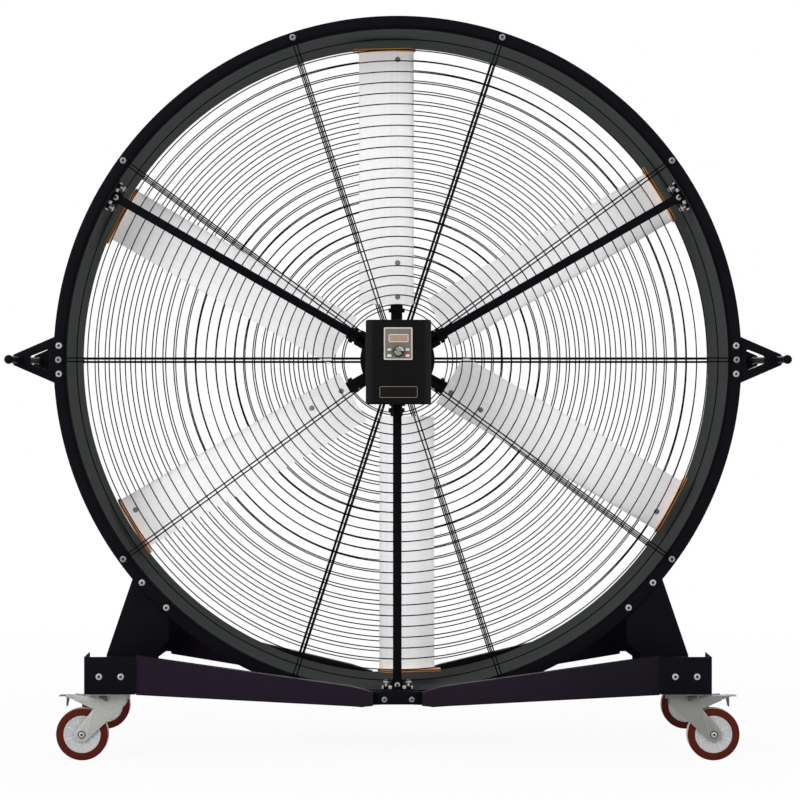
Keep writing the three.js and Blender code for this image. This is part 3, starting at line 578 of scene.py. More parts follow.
# A cast shell with cooling ribs round it, between the rim that carries the bars and the bearing end.
def makeMotor():
    m = motor
    low, high = boxOf("motor_housing")
    front, back = low.y - fanCentre.y, high.y - fanCentre.y
    rim, radius, seat = m["rim"], m["radius"], m["seat"]
    step, neck = front + m["rimDepth"], back - m["collar"]
    stations = [
        (front, rim - 3, 0), (front + 3, rim, 0), (step - 2, rim, 0), (step, rim - 2, 0),
        (step + 1, radius - m["ribDepth"], 0), (step + 4, radius, 1), (neck, radius, 1),
        (neck + 2, radius - 1, 0), (back - 3, radius - 1, 0), (back, radius - 4, 0), (back, 74, 0),
        (back - 4, 70, 0), (back - 4, 56, 0), (back, 53, 0), (back, seat, 0), (back - 22, seat, 0),
    ]
    onRib = m["ribWidth"] * m["ribSteps"]
    form = ribbed(stations, m["ribs"] * m["ribSteps"], lambda i: m["ribDepth"] * (i % m["ribSteps"] >= onRib))
    meshPiece("motorShell", form, blackPaint, "motor_housing", place=fanPlace)
    spots = [aroundFan(m["boltCircle"], 60 - 60 * i) for i in range(6)]
    makeBolts("motorEndBolts", [(x, high.y, z) for x, z in spots], size=0.5, facing=-1)
    race = [(20.6, back - 21), (41.6, back - 21), (41.6, back - 0.6), (35, back - 0.6), (33.5, back - 2),
            (28, back - 2), (26.5, back - 0.6), (20.6, back - 0.6)]
    meshPiece("frontBearing", lathe(race, 72), bareSteel, "motor_bearing", place=fanPlace)


def barForm(y0):
    b = bars
    half, outer, rim, y1 = b["width"] / 2, boreRadius - 0.4, motor["rim"], y0 + b["depth"]
    edge = degrees(asin(b["foot"] / 2 / outer))
    wall = arc(0, 0, outer, 270 - edge, 270 + edge, 10)
    wall += arc(0, 0, outer - b["footThickness"], 270 + edge, 270 - edge, 10)
    forms = [softBox((-half, y0, -outer + 5), (half, y1, -rim - 0.4), 2.5, 3),
             prism([wall], y0 - 10, y1 + 10, 1.5),
             prism([rectangle(*b["clamp"], 0, -rim - 14)], y0, y0 + 9, 1.5)]
    for side in (-1, 1):  # gussets between bar and foot
        points = [(side * (half - 1), 34 - outer), (side * (half - 1), 8 - outer), (side * 24, 8 - outer),
                  (side * 24, 12 - outer)]
        forms.append(prism([points[::side]], y0 + 2, y0 + 8, 0.6))
    return merge(*forms)


# Carriage bolts through each foot, with square nuts on the edge of the foot next to the bar.
def footHardware(y0):
    floor = -(boreRadius - 0.4) + bars["footThickness"] - 0.6
    head = [(0, -17), (4, -16.6), (7.2, -15), (8.6, -12.6), (8.4, -12), (0, -12)]
    forms = []
    for side in (-1, 1):
        for y in bars["boltY"]:
            parts = spindle(3.6, -12.5, 0.5, 0.4, 16), knob(head, 24)
            forms += [moved(spun(part, -90, "X"), side * bars["boltX"], y0 + y, floor) for part in parts]
        for x, half, front, back, top, bevel in bars["nuts"]:
            low = side * x - half, y0 - front, floor - 6
            forms.append(softBox(low, (side * x + half, y0 - back, floor + top), bevel))
    return merge(*forms)


def makeBars():
    y0 = boxOf("motor_bar_1")[0].y - fanCentre.y + (bars["footDepth"] - bars["depth"]) / 2
    for i, turn in enumerate((0, 120, 240), 1):
        meshPiece(f"motorBar{i}", spun(barForm(y0), turn), blackPaint, f"motor_bar_{i}", place=fanPlace)
        meshPiece(f"footBolts{i}", spun(footHardware(y0), turn), boltSteel,
                  place=fanPlace, smooth=40)
    spots = [aroundFan(bars["endBolt"], 270 - 120 * i) for i in range(3)]
    makeBolts("barEndBolts", [(x, fanCentre.y + y0, z) for x, z in spots], size=0.92)


makeMotor()
makeBars()
print("motor and bars made")

rotor = {
    "count": 6, "chord": 169, "thickness": 23, "pitch": 15, "nose": 53, "root": 168,
    "screws": (190, 292, 901), "grooves": (0.12, 0.2, 0.34, 0.48, 0.62, 0.76, 0.88),  # shares of the chord
    "hub": 90, "hubDepth": 24, "boltCircle": 74,
}
winglet = {
    "inner": 926, "outer": 936, "lead": 58, "trail": 146, "height": 62, "lip": 2.0, "groove": 931,
    "behind": 100, "back": 58, "waist": 30,  # the tail's rear corner
}


def foilHalf(u):  # half the blade's thickness at a share of the chord
    curve = 0.2969 * sqrt(u) - 0.126 * u - 0.3516 * u ** 2 + 0.2843 * u ** 3 - 0.1036 * u ** 4
    return 5 * rotor["thickness"] * curve


# The blade's section, leading edge at +X. Shallow grooves from the die run along both faces.
def bladeSection():
    r = rotor
    steps = 44
    marks = [(1 - cos(pi * i / steps)) / 2 for i in range(steps + 1)]
    marks += [g + d for g in r["grooves"] for d in (-0.006, -0.0025, 0.0025, 0.006)]
    upper = []
    for u in sorted(marks):
        cut = 0.55 if any(abs(u - g) < 0.003 for g in r["grooves"]) else 0
        upper.append((r["nose"] - r["chord"] * u, max(foilHalf(u), 0.7) - cut))
    return upper + [(x, -half) for x, half in reversed(upper[1:-1])] + [(upper[0][0], 0)]


# Pushed out from a flat root to a tip that follows the winglet's inner face.
def bladeForm(section):
    form = bmesh.new()
    tip = winglet["inner"] - 0.5
    slope = cos(radians(rotor["pitch"]))
    low = [form.verts.new((x, y, rotor["root"])) for x, y in section]
    high = [form.verts.new((x, y, sqrt(tip ** 2 - (x * slope) ** 2))) for x, y in section]
    for end in (low, high):
        form.faces.new(end)
    skin(form, [low, high], around=False)
    return form


def screwForms():
    r = rotor
    head = [(0, 0.5), (8.2, 0.5), (8.2, -0.6), (7.2, -2.2), (4.2, -2.6), (3.8, -1.2), (0, -1.2)]
    half = foilHalf(r["nose"] / r["chord"])
    return [moved(spun(moved(knob(head, 24), y=-half), turn, "Z"), z=radius)
            for radius in r["screws"] for turn in (0, 180)]


# A plate that follows the tips' circle. Seen along the radius it has a round nose and a swept tail.
def wingForm():
    w = winglet
    half = w["height"] / 2
    nose = w["lead"] - half
    tail = [(-w["behind"], w["back"], 5), (-w["trail"], -half, 5), (nose, -half, 0)]
    outline = arc(nose, 0, half, -88, 90, 14)
    start, waist, end = Vector((nose, half)), Vector((-w["waist"], half)), Vector(tail[0][:2])
    for t in [k / 12 for k in range(1, 12)]:  # the rear edge
        outline.append(tuple((1 - t) ** 2 * start + 2 * t * (1 - t) * waist + t ** 2 * end))
    outline += rounded([(*outline[-1], 0)] + tail, 5, 5)[1:]
    turn, centre = Matrix.Rotation(radians(rotor["pitch"]), 2), Vector((-30, 0))
    form = bmesh.new()

    def ring(radius, share, points=outline):
        flat = [turn @ (centre + (Vector(point) - centre) * share) for point in points]
        return [form.verts.new((x, y, sqrt(radius ** 2 - x ** 2))) for x, y in flat]

    seam = []
    for side, limit in ((1, w["outer"]), (-1, w["inner"])):
        radii = w["groove"] + side * 1.2, w["groove"] + side * 1.6, limit - side, limit, limit
        rings = [ring(*pair) for pair in zip(radii, (0.985, 1.0, 1.0, 1 - w["lip"] / 60, 0.6))]
        middle = ring(limit, 0, [outline[0]])
        faces = skin(form, rings, around=False)
        faces += [form.faces.new((a, b, *middle)) for a, b in zip(rings[-1], rings[-1][1:] + rings[-1][:1])]
        # The groove's brown is painted shade.
        for number, face in enumerate(faces):  # brown in the groove, orange outside, pale towards the hub
            face.material_index = 1 if number < len(outline) else 1 - side
        seam.append(rings[0])
    for face in skin(form, seam, around=False):
        face.material_index = 1
    return form


def makeBlades():
    r = rotor
    section = bladeSection()
    turns = [fanPlace @ Matrix.Rotation(2 * pi * i / r["count"], 4, "Y") for i in range(r["count"])]
    for i, turn in enumerate(turns, 1):
        pitched = turn @ Matrix.Rotation(radians(r["pitch"]), 4, "Z")
        meshPiece(f"blade{i}", bladeForm(section), bladeMetal, f"blade_{i}", "rotor",
                  pitched, 25)
        meshPiece(f"bladeScrews{i}", merge(*screwForms()), screwSteel, None, "rotor",
                  pitched, 40)
    for i, turn in enumerate(turns, 1):
        meshPiece(f"winglet{i}", wingForm(), [wingNylon, paintedShadeNylon, paleNylon], f"winglet_{i}",
                  "rotor", turn, 40)


# A six-armed spider with a clamped end on each arm, a tongue into each blade and a shaft nut.
def makeHub():
    r = rotor
    back, rim = r["hubDepth"] / 2, r["hub"]
    forms = [knob([(0, -back), (rim - 3, -back), (rim, 3 - back), (rim, back - 3), (rim - 3, back),
                   (62, back), (58, back + 0.8), (0, back + 0.8)], 96)]
    for i in range(r["count"]):
        neck = prism([rounded([(17, 60), (17, 150), (-17, 150), (-17, 60)], 3)], -7, 7, 1.5)
        arm = [softBox((-18, -7, 155), (18, 7, 165), 2), softBox((-23.5, -8, 143), (23.5, 8, 156), 2, 3),
               softBox((-17, -4, 160), (17, 4, 300), 1)]  # shoulder, clamp and tongue
        forms += [spun(part, 60 * i) for part in [neck] + [spun(part, r["pitch"], "Z") for part in arm]]
    shaft = boxOf("rotor_hub")[0].y - fanCentre.y
    forms.append(knob([(0, shaft + 1), (19, shaft + 1), (20, shaft + 2), (20, 0), (0, 0)], 48))
    meshPiece("rotorHub", merge(*forms), blackPaint, "rotor_hub", body="rotor", place=fanPlace)
    spots = [aroundFan(r["boltCircle"], 90 - 60 * i) for i in range(6)]
    makeBolts("hubBolts", [(x, fanCentre.y + back, z) for x, z in spots], "rotor", 0.6, -1)
    makeBolts("hubShaftBolt", [(fanCentre.x, fanCentre.y + back + 0.6, fanCentre.z)], "rotor", 1.5, -1)


makeBlades()
makeHub()
print("rotor made")

padLow, padHigh = boxOf("keypad")
padLow.z += 1.8  # the rim ends a little inside the panel below and on the right
padHigh.x -= 1.8
control = {
    "corner": 17, "edge": 6, "doorGap": 1.2, "doorDepth": 22, "coreInset": (1.5, 4, 1.8),
    "plugX": 34, "plugY": 30,  # from the sides and the back
    "bezel": 3.9, "bezelRise": 1.2, "border": 3.2,
    "keys": {"up": (greyRubber, paleGreyTop, "key_grey"), "down": (greyRubber, paleGreyTop, "key_grey"),
             "start": (greenRubber, paleGreenTop, "key_green"), "stop": (redRubber, paleRedTop, "key_red")},
}


def frontOutline(low, high, radius, inset=0.0):  # round the front of a box
    size, middle = high - low, (low + high) / 2
    return rectangle(size.x - 2 * inset, size.z - 2 * inset, radius, middle.x, middle.z)


def rimForm(low, high, y0, y1, radius, width, bevel=0.4):
    inner = frontOutline(low, high, max(radius - width, 0.6), width)
    return prism([frontOutline(low, high, radius), inner], y0, y1, bevel)


# The shell, with a groove cut round it where the door meets the back, and a core behind the groove.
def makeControlBox():
    c = control
    door = boxLow.y + c["doorDepth"]
    sides = rectangle(2 * boxHalf, boxHigh.y - boxLow.y, c["corner"], boxMiddle.x, boxMiddle.y)
    shell = prism([sides], boxLow.z + 0.3, boxHigh.z - 0.3, c["edge"], "z", 5)
    cut = softBox((boxLow.x - 1, door, boxLow.z - 1), (boxHigh.x + 1, door + c["doorGap"], boxHigh.z + 1), 0)
    inset = Vector(c["coreInset"])
    core = softBox(boxLow + inset, boxHigh - inset, 4)
    shapes = [addObject("step", toMesh(form)) for form in (shell, cut, core)]
    for other, operation in zip(shapes[1:], ("DIFFERENCE", "UNION")):
        step = shapes[0].modifiers.new("step", "BOOLEAN")
        step.object, step.operation, step.solver = other, operation, "EXACT"
    bpy.context.view_layer.update()
    shaped = bpy.data.meshes.new_from_object(shapes[0].evaluated_get(bpy.context.evaluated_depsgraph_get()))
    for shape in shapes:
        bpy.data.objects.remove(shape)
    meshPiece("controlBox", shaped, boxPaint, "control_box")
    plugs = [moved(spun(knob([(0, 0), (8, 0), (8, 5), (6.4, 7.4), (0, 7.4)], 24), 90, "X"),
                   x, boxHigh.y - c["plugY"], boxHigh.z - 7.6)
             for x in (boxLow.x + c["plugX"], boxHigh.x - c["plugX"])]
    meshPiece("boxPlugs", merge(*plugs), knobPlastic)


def makeKeypad():
    c = control
    face = padLow.y + c["bezelRise"]
    keys = {name: boxOf(f"button_{name}") for name in c["keys"]}
    wells = [frontOutline(low, high, 1.2, -0.4) for low, high in keys.values()]
    knobMiddle = sum(boxOf("speed_knob"), Vector()) / 2
    wells.append(arc(knobMiddle.x, knobMiddle.z, 4.6, 0, 345, 23))
    panel = prism([frontOutline(padLow, padHigh, 3, 1.5)] + wells, face, padHigh.y, 0.3)
    meshPiece("keypadFace", panel, keypadPlastic, "keypad")
    rim = rimForm(padLow, padHigh, padLow.y, padHigh.y, 3.4, c["bezel"])
    meshPiece("keypadBezel", rim, bezelPlastic)
    low, high = boxOf("display_window")
    pane = prism([frontOutline(low, high, 2.4, c["border"] - 0.4)], low.y + 0.5, face + 0.1, 0.3)
    meshPiece("displayLens", pane, displayLens, "display_window")
    rim = rimForm(low, high, low.y, face + 0.1, 4.4, c["border"])
    meshPiece("displayRim", rim, windowTrim)
    for name, (low, high) in keys.items():
        side, top, slot = c["keys"][name]
        cap = softBox((low.x, low.y + 0.25, low.z), high, 1.0, 3)
        crown = softBox((low.x + 1.2, low.y, low.z + 2), (high.x - 1.2, low.y + 1.5, high.z - 0.8), 0.2)
        meshPiece(f"key{name.title()}", merge(cap, marked(crown, 1)), [side, top], f"button_{name}",
                  f"key_{name}")


dial = {
    "depth": 16, "rim": 1.6, "face": 12.9, "ribs": 24, "ribDepth": 0.45, "ribSteps": 4,
    "dips": (((-11.6, 9.4), (-1.5, 2.2), (-13, 2)), ((0.6, 0.9), (12.2, -5), (12.2, 1.2))),
    # The rim's pale spot and arc are a painted highlight.
    "mark": (22, 2.8), "shine": (8, 84),  # degrees from +X, and the mark's half width
    # The offset face bares a dark crescent of skirt below, which stands in for a shadow: painted shadow.
    "aside": (-0.6, 0, 0.9),  # the face sits a little to the upper left, so more of the skirt shows below
}


# A ribbed skirt and a grey face with a finger grip. Beside the grip lie dark wedges of painted shade,
# and on the rim a pale spot and arc of painted highlight.
def makeDial():
    d = dial
    low, high = boxOf("speed_knob")
    middle = (low + high) / 2
    radius, front, back, face = (high.x - low.x) / 2, low.y, low.y + d["depth"], d["face"]
    stations = [(back, radius, 0), (front + 9, radius, 0), (front + 8, radius - 0.8, 1),
                (front + 2.6, radius - 1, 1), (front + 1.2, radius - d["rim"], 0), (front + 0.9, face, 0),
                (front + 1.6, face - 0.5, 0)]
    skirt = ribbed(stations, d["ribs"] * d["ribSteps"],
                   lambda i: d["ribDepth"] * (1 - cos(2 * pi * i / d["ribSteps"])) / 2)
    stem = spindle(3.8, back - 1, high.y, 0.4, 20)
    dips = [prism([corners[::-1]], front + 0.35, front + 1.2, 0.1) for corners in d["dips"]]
    disc = moved(spindle(face - 0.9, front + 0.4, front + 2.5, 0.4, 64), *d["aside"])
    grip = spun(softBox((2 - face, front, -4.6), (face - 2, front + 2, -0.2), 0.6), 24)
    turn, half = d["mark"]
    mark = spun(softBox((radius - 3.3, front + 0.6, -half), (radius - 1, front + 2.6, half), 0.4), -turn)
    shine = arc(0, 0, radius - 1.1, *d["shine"], 16) + arc(0, 0, radius - 2.9, *d["shine"][::-1], 16)
    for name, forms, look, node in (
        ("speedDial", (skirt, stem, *dips), knobPlastic, "speed_knob"),
        ("dialFace", (disc, grip), facePlastic, None),
        ("dialPaintedHighlight", (mark, prism([shine], front + 0.7, front + 2.6, 0.15)), paintedHighlightPlastic, None),
    ):
        meshPiece(name, merge(*forms), look, node, "knob", placeAt(middle.x, 0, middle.z))


def makeNameplate():
    low, high = boxOf("nameplate")
    plate = prism([frontOutline(low, high, 4)], low.y + 0.3, high.y, 0.3)
    meshPiece("namePlate", plate, plateStock, "nameplate")
    border = rimForm(low, high, low.y, high.y - 0.2, 4.2, 1.6, 0.2)
    meshPiece("namePlateBorder", border, plateTrim)


makeControlBox()
makeKeypad()
makeDial()
makeNameplate()
print("control box made")

handle = {
    "reach": 119, "tipHalf": 14.5, "baseHalf": 66, "footHalf": 67.3, "thickness": 6,
    "window": [(14, 31.5, 5), (14, -31.5, 5), (67, -10.5, 6), (67, 10.5, 6)],  # from the drum's edge
    "rod": 10, "collar": 15, "collarLength": 12, "gripLength": 26,
    "grip": ((0, 0), (5, 0.5), (9.6, 2.8), (12.2, 6.4), (13, 11), (12.6, 16), (11, 21)),  # radius and depth
    "boltRise": 41,
}


def handlePlateForm(y0):
    h = handle
    inner, tip, edge = boreRadius + 7.5, drumRadius + h["reach"], drumRadius - 3
    half = degrees(asin(h["baseHalf"] / inner))
    foot, end = h["footHalf"], h["tipHalf"]
    outer = arc(0, 0, inner, half, -half, 10)
    outer += rounded([(edge, -foot, 0), (tip, -end, 10), (tip, end, 10), (edge, foot, 0)], 4, 5)
    window = rounded([(drumRadius + x, z, r) for x, z, r in h["window"]], 5, 5)
    hole = arc(tip - 15, 0, h["rod"] + 0.4, 0, 352, 44)
    return prism([outer, window, hole], y0, y0 + h["thickness"], 0.8)


def makeHandles():
    h = handle
    for side, word in ((1, "Right"), (-1, "Left")):
        for end in ("Front", "Rear"):
            node = f"handle_plate_{end}_{word}".lower()
            form = spun(handlePlateForm(boxOf(node)[0].y - fanCentre.y), 90 - 90 * side)
            meshPiece(f"handlePlate{end}{word}", form, blackPaint, node, place=fanPlace)
        node = f"handle_bar_{word}".lower()
        low, high = boxOf(node)
        middle = (low + high) / 2
        back = boxOf(f"handle_plate_front_{word}".lower())[0].y - 0.3
        rod, collar, front = h["rod"], h["collar"], back - h["collarLength"]
        path = [(r, low.y + y) for r, y in h["grip"]]
        path += [(rod, low.y + h["gripLength"]), (rod, front), (collar - 1, front), (collar, front + 1),
                 (collar, back - 1), (collar - 1, back), (rod, back), (rod, high.y - 1.5),
                 (rod - 1.5, high.y), (0, high.y)]
        place = placeAt(middle.x, 0, middle.z)
        meshPiece(f"pushBar{word}", knob(path, 40), blackPaint, node, place=place)
        x, rise = fanCentre.x + side * (boltCircle - 1), h["boltRise"]
        spots = [(x, fanCentre.z + rise), (x, fanCentre.z - rise)]
        boltBothEnds(f"handleBolts{word}", f"handleBoltsRear{word}", spots, flangeFront, flangeBack)


makeHandles()
print("handles made")

base = {
    "sheet": 8, "bend": 4, "web": 3.5, "wing": 160, "inner": 746.5, "top": 302,
    "rearTrim": 22, "rail": 60, "railWall": 4, "railX": 820, "railEnd": 256,
    "gusset": 6, "gussetGap": 0.3, "trayBolts": ((789, 246), (851, 246)), "gussetBolts": (-41.1, -47.0),
}
gusset = {"top": (770, 513), "foot": 846, "knee": (666, 333), "heel": 711, "toe": 746}
sideLow, sideHigh = boxOf("side_frame_right")


def gussetForm(y0):
    top, foot, knee, heel, toe = gusset.values()
    bottom, inner, axis = sideLow.z + 1, boreRadius + 7.5, fanCentre.z
    points = rounded([(toe, bottom, 0), (foot, bottom, 0), (foot, 290, 6), (*top, 0)], 4, 4)
    points += arc(0, axis, inner, degrees(atan2(top[1] - axis, top[0])), -degrees(acos(knee[0] / inner)), 18)
    points += rounded([(*knee, 0), (heel, 290, 8), (heel, 250, 1), (toe, 225, 1)], 4, 4)
    return prism([points], y0, y0 + base["gusset"], 1.0)


def trayForms(end):
    b = base
    inner, outer = b["inner"], sideHigh.x - (b["rearTrim"] if end > 0 else 0)
    front = sideHigh.y if end > 0 else sideLow.y
    bottom, web, sheet = sideLow.z, b["web"], front - end * b["sheet"]
    wing = front - end * b["wing"]
    # the front plate and the outer web are one folded sheet, seen from above
    fold = [(inner, front, 0.5), (outer, front, b["bend"]), (outer, wing, 0.5), (outer - web, wing, 0.5),
            (outer - web, sheet, 1.5), (inner, sheet, 0.5)]
    y0, y1 = sorted((front - end, fanCentre.y + end * 255))
    return [prism([rounded(fold, 1, 5)], bottom, b["top"], 0.8, "z"),
            softBox((inner + 1, y0, bottom), (outer - 1, y1, bottom + b["sheet"]))]


def railForm():
    b = base
    size, height, y = b["rail"], sideLow.z + b["rail"] / 2, fanCentre.y
    outlines = [rectangle(side, side, radius, b["railX"], height)
                for side, radius in ((size, 5), (size - 2 * b["railWall"], 3))]
    return prism(outlines, y - b["railEnd"], y + b["railEnd"], 0.5)


def makeSides():
    b = base
    near = drum["flange"] + b["gussetGap"]
    for side, word in ((1, "Right"), (-1, "Left")):
        forms = trayForms(-1) + trayForms(1) + [railForm()]
        forms += [gussetForm(y) for y in (flangeFront + near, flangeBack - near - b["gusset"])]
        meshPiece(f"sideFrame{word}", mirrored(merge(*forms), side), blackPaint, f"side_frame_{word.lower()}")
        spots = [(side * x, z) for x, z in b["trayBolts"]]
        boltBothEnds(f"trayBolts{word}", f"trayBoltsRear{word}", spots, sideLow.y, sideHigh.y)
        spots = [aroundFan(boltCircle, a if side > 0 else 180 - a) for a in b["gussetBolts"]]
        boltBothEnds(f"gussetBolts{word}", f"gussetBoltsRear{word}", spots, flangeFront, flangeBack)


beam = {
    "depth": 40, "tabHalf": 95, "tab": 14, "armGap": 8.3, "plate": 71, "plateRise": 12,
    "kneeX": 136, "endX": 746, "edge": 5, "bolts": ((-38, 163.5), (41.5, 163.5)), "boltSize": 0.88,
    # the arms' stations: X, lowest and highest point
    "front": ((71, 147, 187), (94, 145, 193), (101, 143.3, 195), (136, 146, 204), (746, 192.5, 304)),
    "rear": ((71, 148, 187), (94, 146, 194), (101, 145.3, 196), (136, 148, 208), (703, 229.8, 330.7),
             (705, 237.5, 331.1), (746, 237.5, 340)),
}


# One tube per arm, lofted through its stations, with rounded long edges.
def armForm(stations, hand, armY, endY, end):
    b = beam
    form = bmesh.new()
    rings = []
    for x, low, high in stations:
        slide = max(0, (x - b["kneeX"]) / (b["endX"] - b["kneeX"]))
        y = armY + slide * (endY - armY) + end * b["depth"] / 2
        section = rectangle(b["depth"], high - low, b["edge"], y, (low + high) / 2)
        rings.append([form.verts.new((hand * x, *point)) for point in section])
    skin(form, rings, around=False)
    for ring in (rings[0], rings[-1]):
        form.faces.new(ring)
    return form


def makeBeam(word, end, look):
    b = beam
    low, high = boxOf(f"{word}_beam")
    near, far = (low.y, high.y) if end > 0 else (high.y, low.y)
    armY = near + end * b["armGap"]
    y0, y1 = sorted((near, near + end * b["tab"]))
    arms = [armForm(b[word], hand, armY, far - end * b["depth"], end) for hand in (-1, 1)]
    meshPiece(f"{word}BeamArms", merge(*arms), look, f"{word}_beam", smooth=30)
    face, side = armY + end * b["plateRise"], b["plate"]
    outline = [(-side, 147.5, 1), (-22, 149.5, 0), (-19, 151, 0), (19, 151, 0), (22, 149.5, 0),
               (side, 147.5, 1), (side, 186, 2), (-side, 186, 2)]
    forms = [prism([rectangle(2 * b["tabHalf"], 38, 4, 0, 167)], y0, y1, 1.2),
             prism([rounded(outline, 1, 3)], *sorted((y0 + 1, face)), 1.0)]
    meshPiece(f"{word}BeamTab", merge(*forms), blackPaint)
    spots = [(x, face, z) for x, z in b["bolts"]]
    makeBolts(f"{word}BeamBolts", spots, facing=-end, size=b["boltSize"], look=dullBolt)


makeSides()
makeBeam("front", -1, plumPaint)
makeBeam("rear", 1, paintedShadePlum)
print("base made")

caster = {  # drawn trailing to +X about the swivel axis, with the floor at Z 0
    "wheel": 75, "width": 46, "core": 54, "ribs": 8, "trail": 84.5, "crown": 52, "crownTop": 181.7,
    "crownBottom": 176.7, "cheek": 25.7, "sheet": 5, "boss": 21, "axle": 8, "plate": 104, "plateTop": 195,
    "plateDepth": 6, "plateHole": 40, "race": 30, "cupTop": 188, "pivotX": 94, "pivotZ": 178,
}
cheekOuter = caster["cheek"] + caster["sheet"]


def forkForm():
    c = caster
    crown, bottom, top, cup = c["crown"], c["crownBottom"], c["crownTop"] - 1, c["cupTop"]
    shoulder = bottom - 14
    slant = degrees(atan2(shoulder - 16 - c["wheel"], c["trail"] - 10))
    half = sqrt(crown ** 2 - cheekOuter ** 2)
    cheek = [(-half, top), (-half, shoulder)]
    cheek += arc(c["trail"], c["wheel"], c["boss"], -90 - slant, 90 - slant, 14)
    cheek += rounded([(half + 6, 147, 6), (108, 174, 2), (108, 188, 2), (crown + 1, 184.4, 1),
                      (half, top, 0)], 2, 3)
    hole = arc(c["trail"], c["wheel"], c["axle"] + 0.2, 0, 350, 35)
    # A dark wedge beside each cheek, under the plate: painted shade in the gap there.
    stop = [(11.5, cup - 0.3), (11.5, 171.5), (34.2, 185), (34.2, cup - 0.3)]
    forms = []
    for side in (-1, 1):
        forms.append(prism([cheek, hole], *sorted((side * c["cheek"], side * cheekOuter)), 0.9))
        forms.append(marked(prism([stop], *sorted((side * (cheekOuter - 1), side * (crown - 1))), 0.5), 1))
    # the crown is round but for two flats, flush with the cheeks
    flat = degrees(asin((cheekOuter - 0.4) / crown))
    outline = arc(0, 0, crown, -flat, flat, 12) + arc(0, 0, crown, 180 - flat, 180 + flat, 12)
    forms.append(prism([outline], bottom, cup, 0.8, "z"))
    pin = [(0, 5 - bottom), (12, 5 - bottom), (13, 1 - bottom), (9, -bottom), (9, 2.4 - c["plateTop"]),
           (0, 2.4 - c["plateTop"])]
    return merge(*forms, spun(knob(pin, 36), -90, "X"))


# The axle bolt: a hex head on one side and a nut on the other, each on a dark washer.
def axleForm():
    c, reach = caster, cheekOuter
    forms = [spindle(c["axle"], -reach - 0.5, reach + 0.5, 0.5)]
    nut = ((0, 1), (8.4, 1), (8.4, 2.8), (7.4, 3.4), (4.8, 3.4), (4.4, 2.6), (0, 2.6))
    for side in (-1, 1):
        washer = spindle(11.4, *sorted((side * reach, side * (reach + 1.2))), 0.3)
        end = spindle(4, *sorted((side * (reach + 2), side * (reach + 3.9))), 0.5, 24)
        forms += [marked(washer, 1), knob([(r, side * (reach + y)) for r, y in nut], 6), marked(end, 1)]
    return moved(merge(*forms), c["trail"], 0, c["wheel"])


# The core: a dished web between a rim under the tread and a hub round the axle, with ribs just proud.
def coreForm():
    c = caster
    hub, rim, core = c["width"] / 2 + 1, c["width"] / 2 - 1.5, c["core"]
    web = rim - 1.6
    side = [(c["axle"] + 0.6, hub), (16, hub), (17.5, hub - 1.5), (19, web), (44, web), (46, web + 0.4),
            (47, rim - 0.3), (core - 1.2, rim), (core - 0.2, rim - 1)]
    forms = [lathe(side + [(r, -y) for r, y in reversed(side)], 96)]
    # The ribs take the paler metal: painted highlights.
    for k in range(c["ribs"]):
        rib = softBox((18, -web - 1.3, -0.9), (46, web + 1.3, 0.9), 0.4)
        forms.append(marked(spun(rib, 360 / c["ribs"] * k + 17), 1))
    return moved(merge(*forms), c["trail"], 0, c["wheel"])


def treadForm():
    c = caster
    half = c["width"] / 2
    loop = arc(c["wheel"] - 7, half - 7, 7, 0, 90, 7) + [(c["core"] + 1, half), (c["core"], half - 1)]
    form = lathe(loop + [(r, -y) for r, y in reversed(loop)], 120)
    # Faces beyond this radius, the running face, take the painted reflection.
    for face in form.faces:
        x, y, z = face.calc_center_median()
        face.material_index = hypot(x, z) > c["wheel"] - 0.9
    return moved(form, c["trail"], 0, c["wheel"])


# A pressed foot lever with a thin lip that clears the beam as the caster swivels, and a claw that
# swings down to the tread.
def pedalForm():
    c = caster
    x, z, inside = c["pivotX"], c["pivotZ"], c["cheek"] - 0.4
    body = rounded([(x - 12, z - 6, 2), (x + 6, z - 6, 3), (126, 180, 2), (133, 183, 2), (133, 186.8, 1),
                    (129, 187, 6), (x - 12, z + 6, 2)], 1, 3)
    claw = rounded([(122, 181, 1), (127.6, 154, 0.6), (129.4, 154.6, 0.6), (129, 182.5, 1)], 1, 2)
    lip = rounded([(130, 184), (151, 184), (151, 185.7), (130, 186.3)], 0.6, 2)
    dark = [prism([outline], -20, 20, 0.4) for outline in (claw, lip)]
    dark += [softBox((137 + 4 * k, -18, 185), (138.6 + 4 * k, 18, 186.3), 0.2) for k in range(3)]  # grips
    pin = moved(spindle(5, -inside, inside, 0.4, 24), x, 0, z)
    return merge(prism([body], -20, 20, 0.6), pin, *[marked(form, 1) for form in dark])


def casterPlateForm():
    c = caster
    top, under, spread = c["plateTop"], c["plateTop"] - c["plateDepth"], (-c["plateHole"], c["plateHole"])
    holes = [arc(x, y, 4.5, 0, 345, 15) for x in spread for y in spread]
    z0, z1 = c["cupTop"] + 0.2, under + 0.5
    race = [(9.6, -z1), (c["race"] + 1, -z1), (c["race"], -z0), (9.6, -z0)]
    return merge(prism([rectangle(c["plate"], c["plate"], 8)] + holes, under, top, 0.8, "z"),
                 spun(lathe(race, 72), -90, "X"))


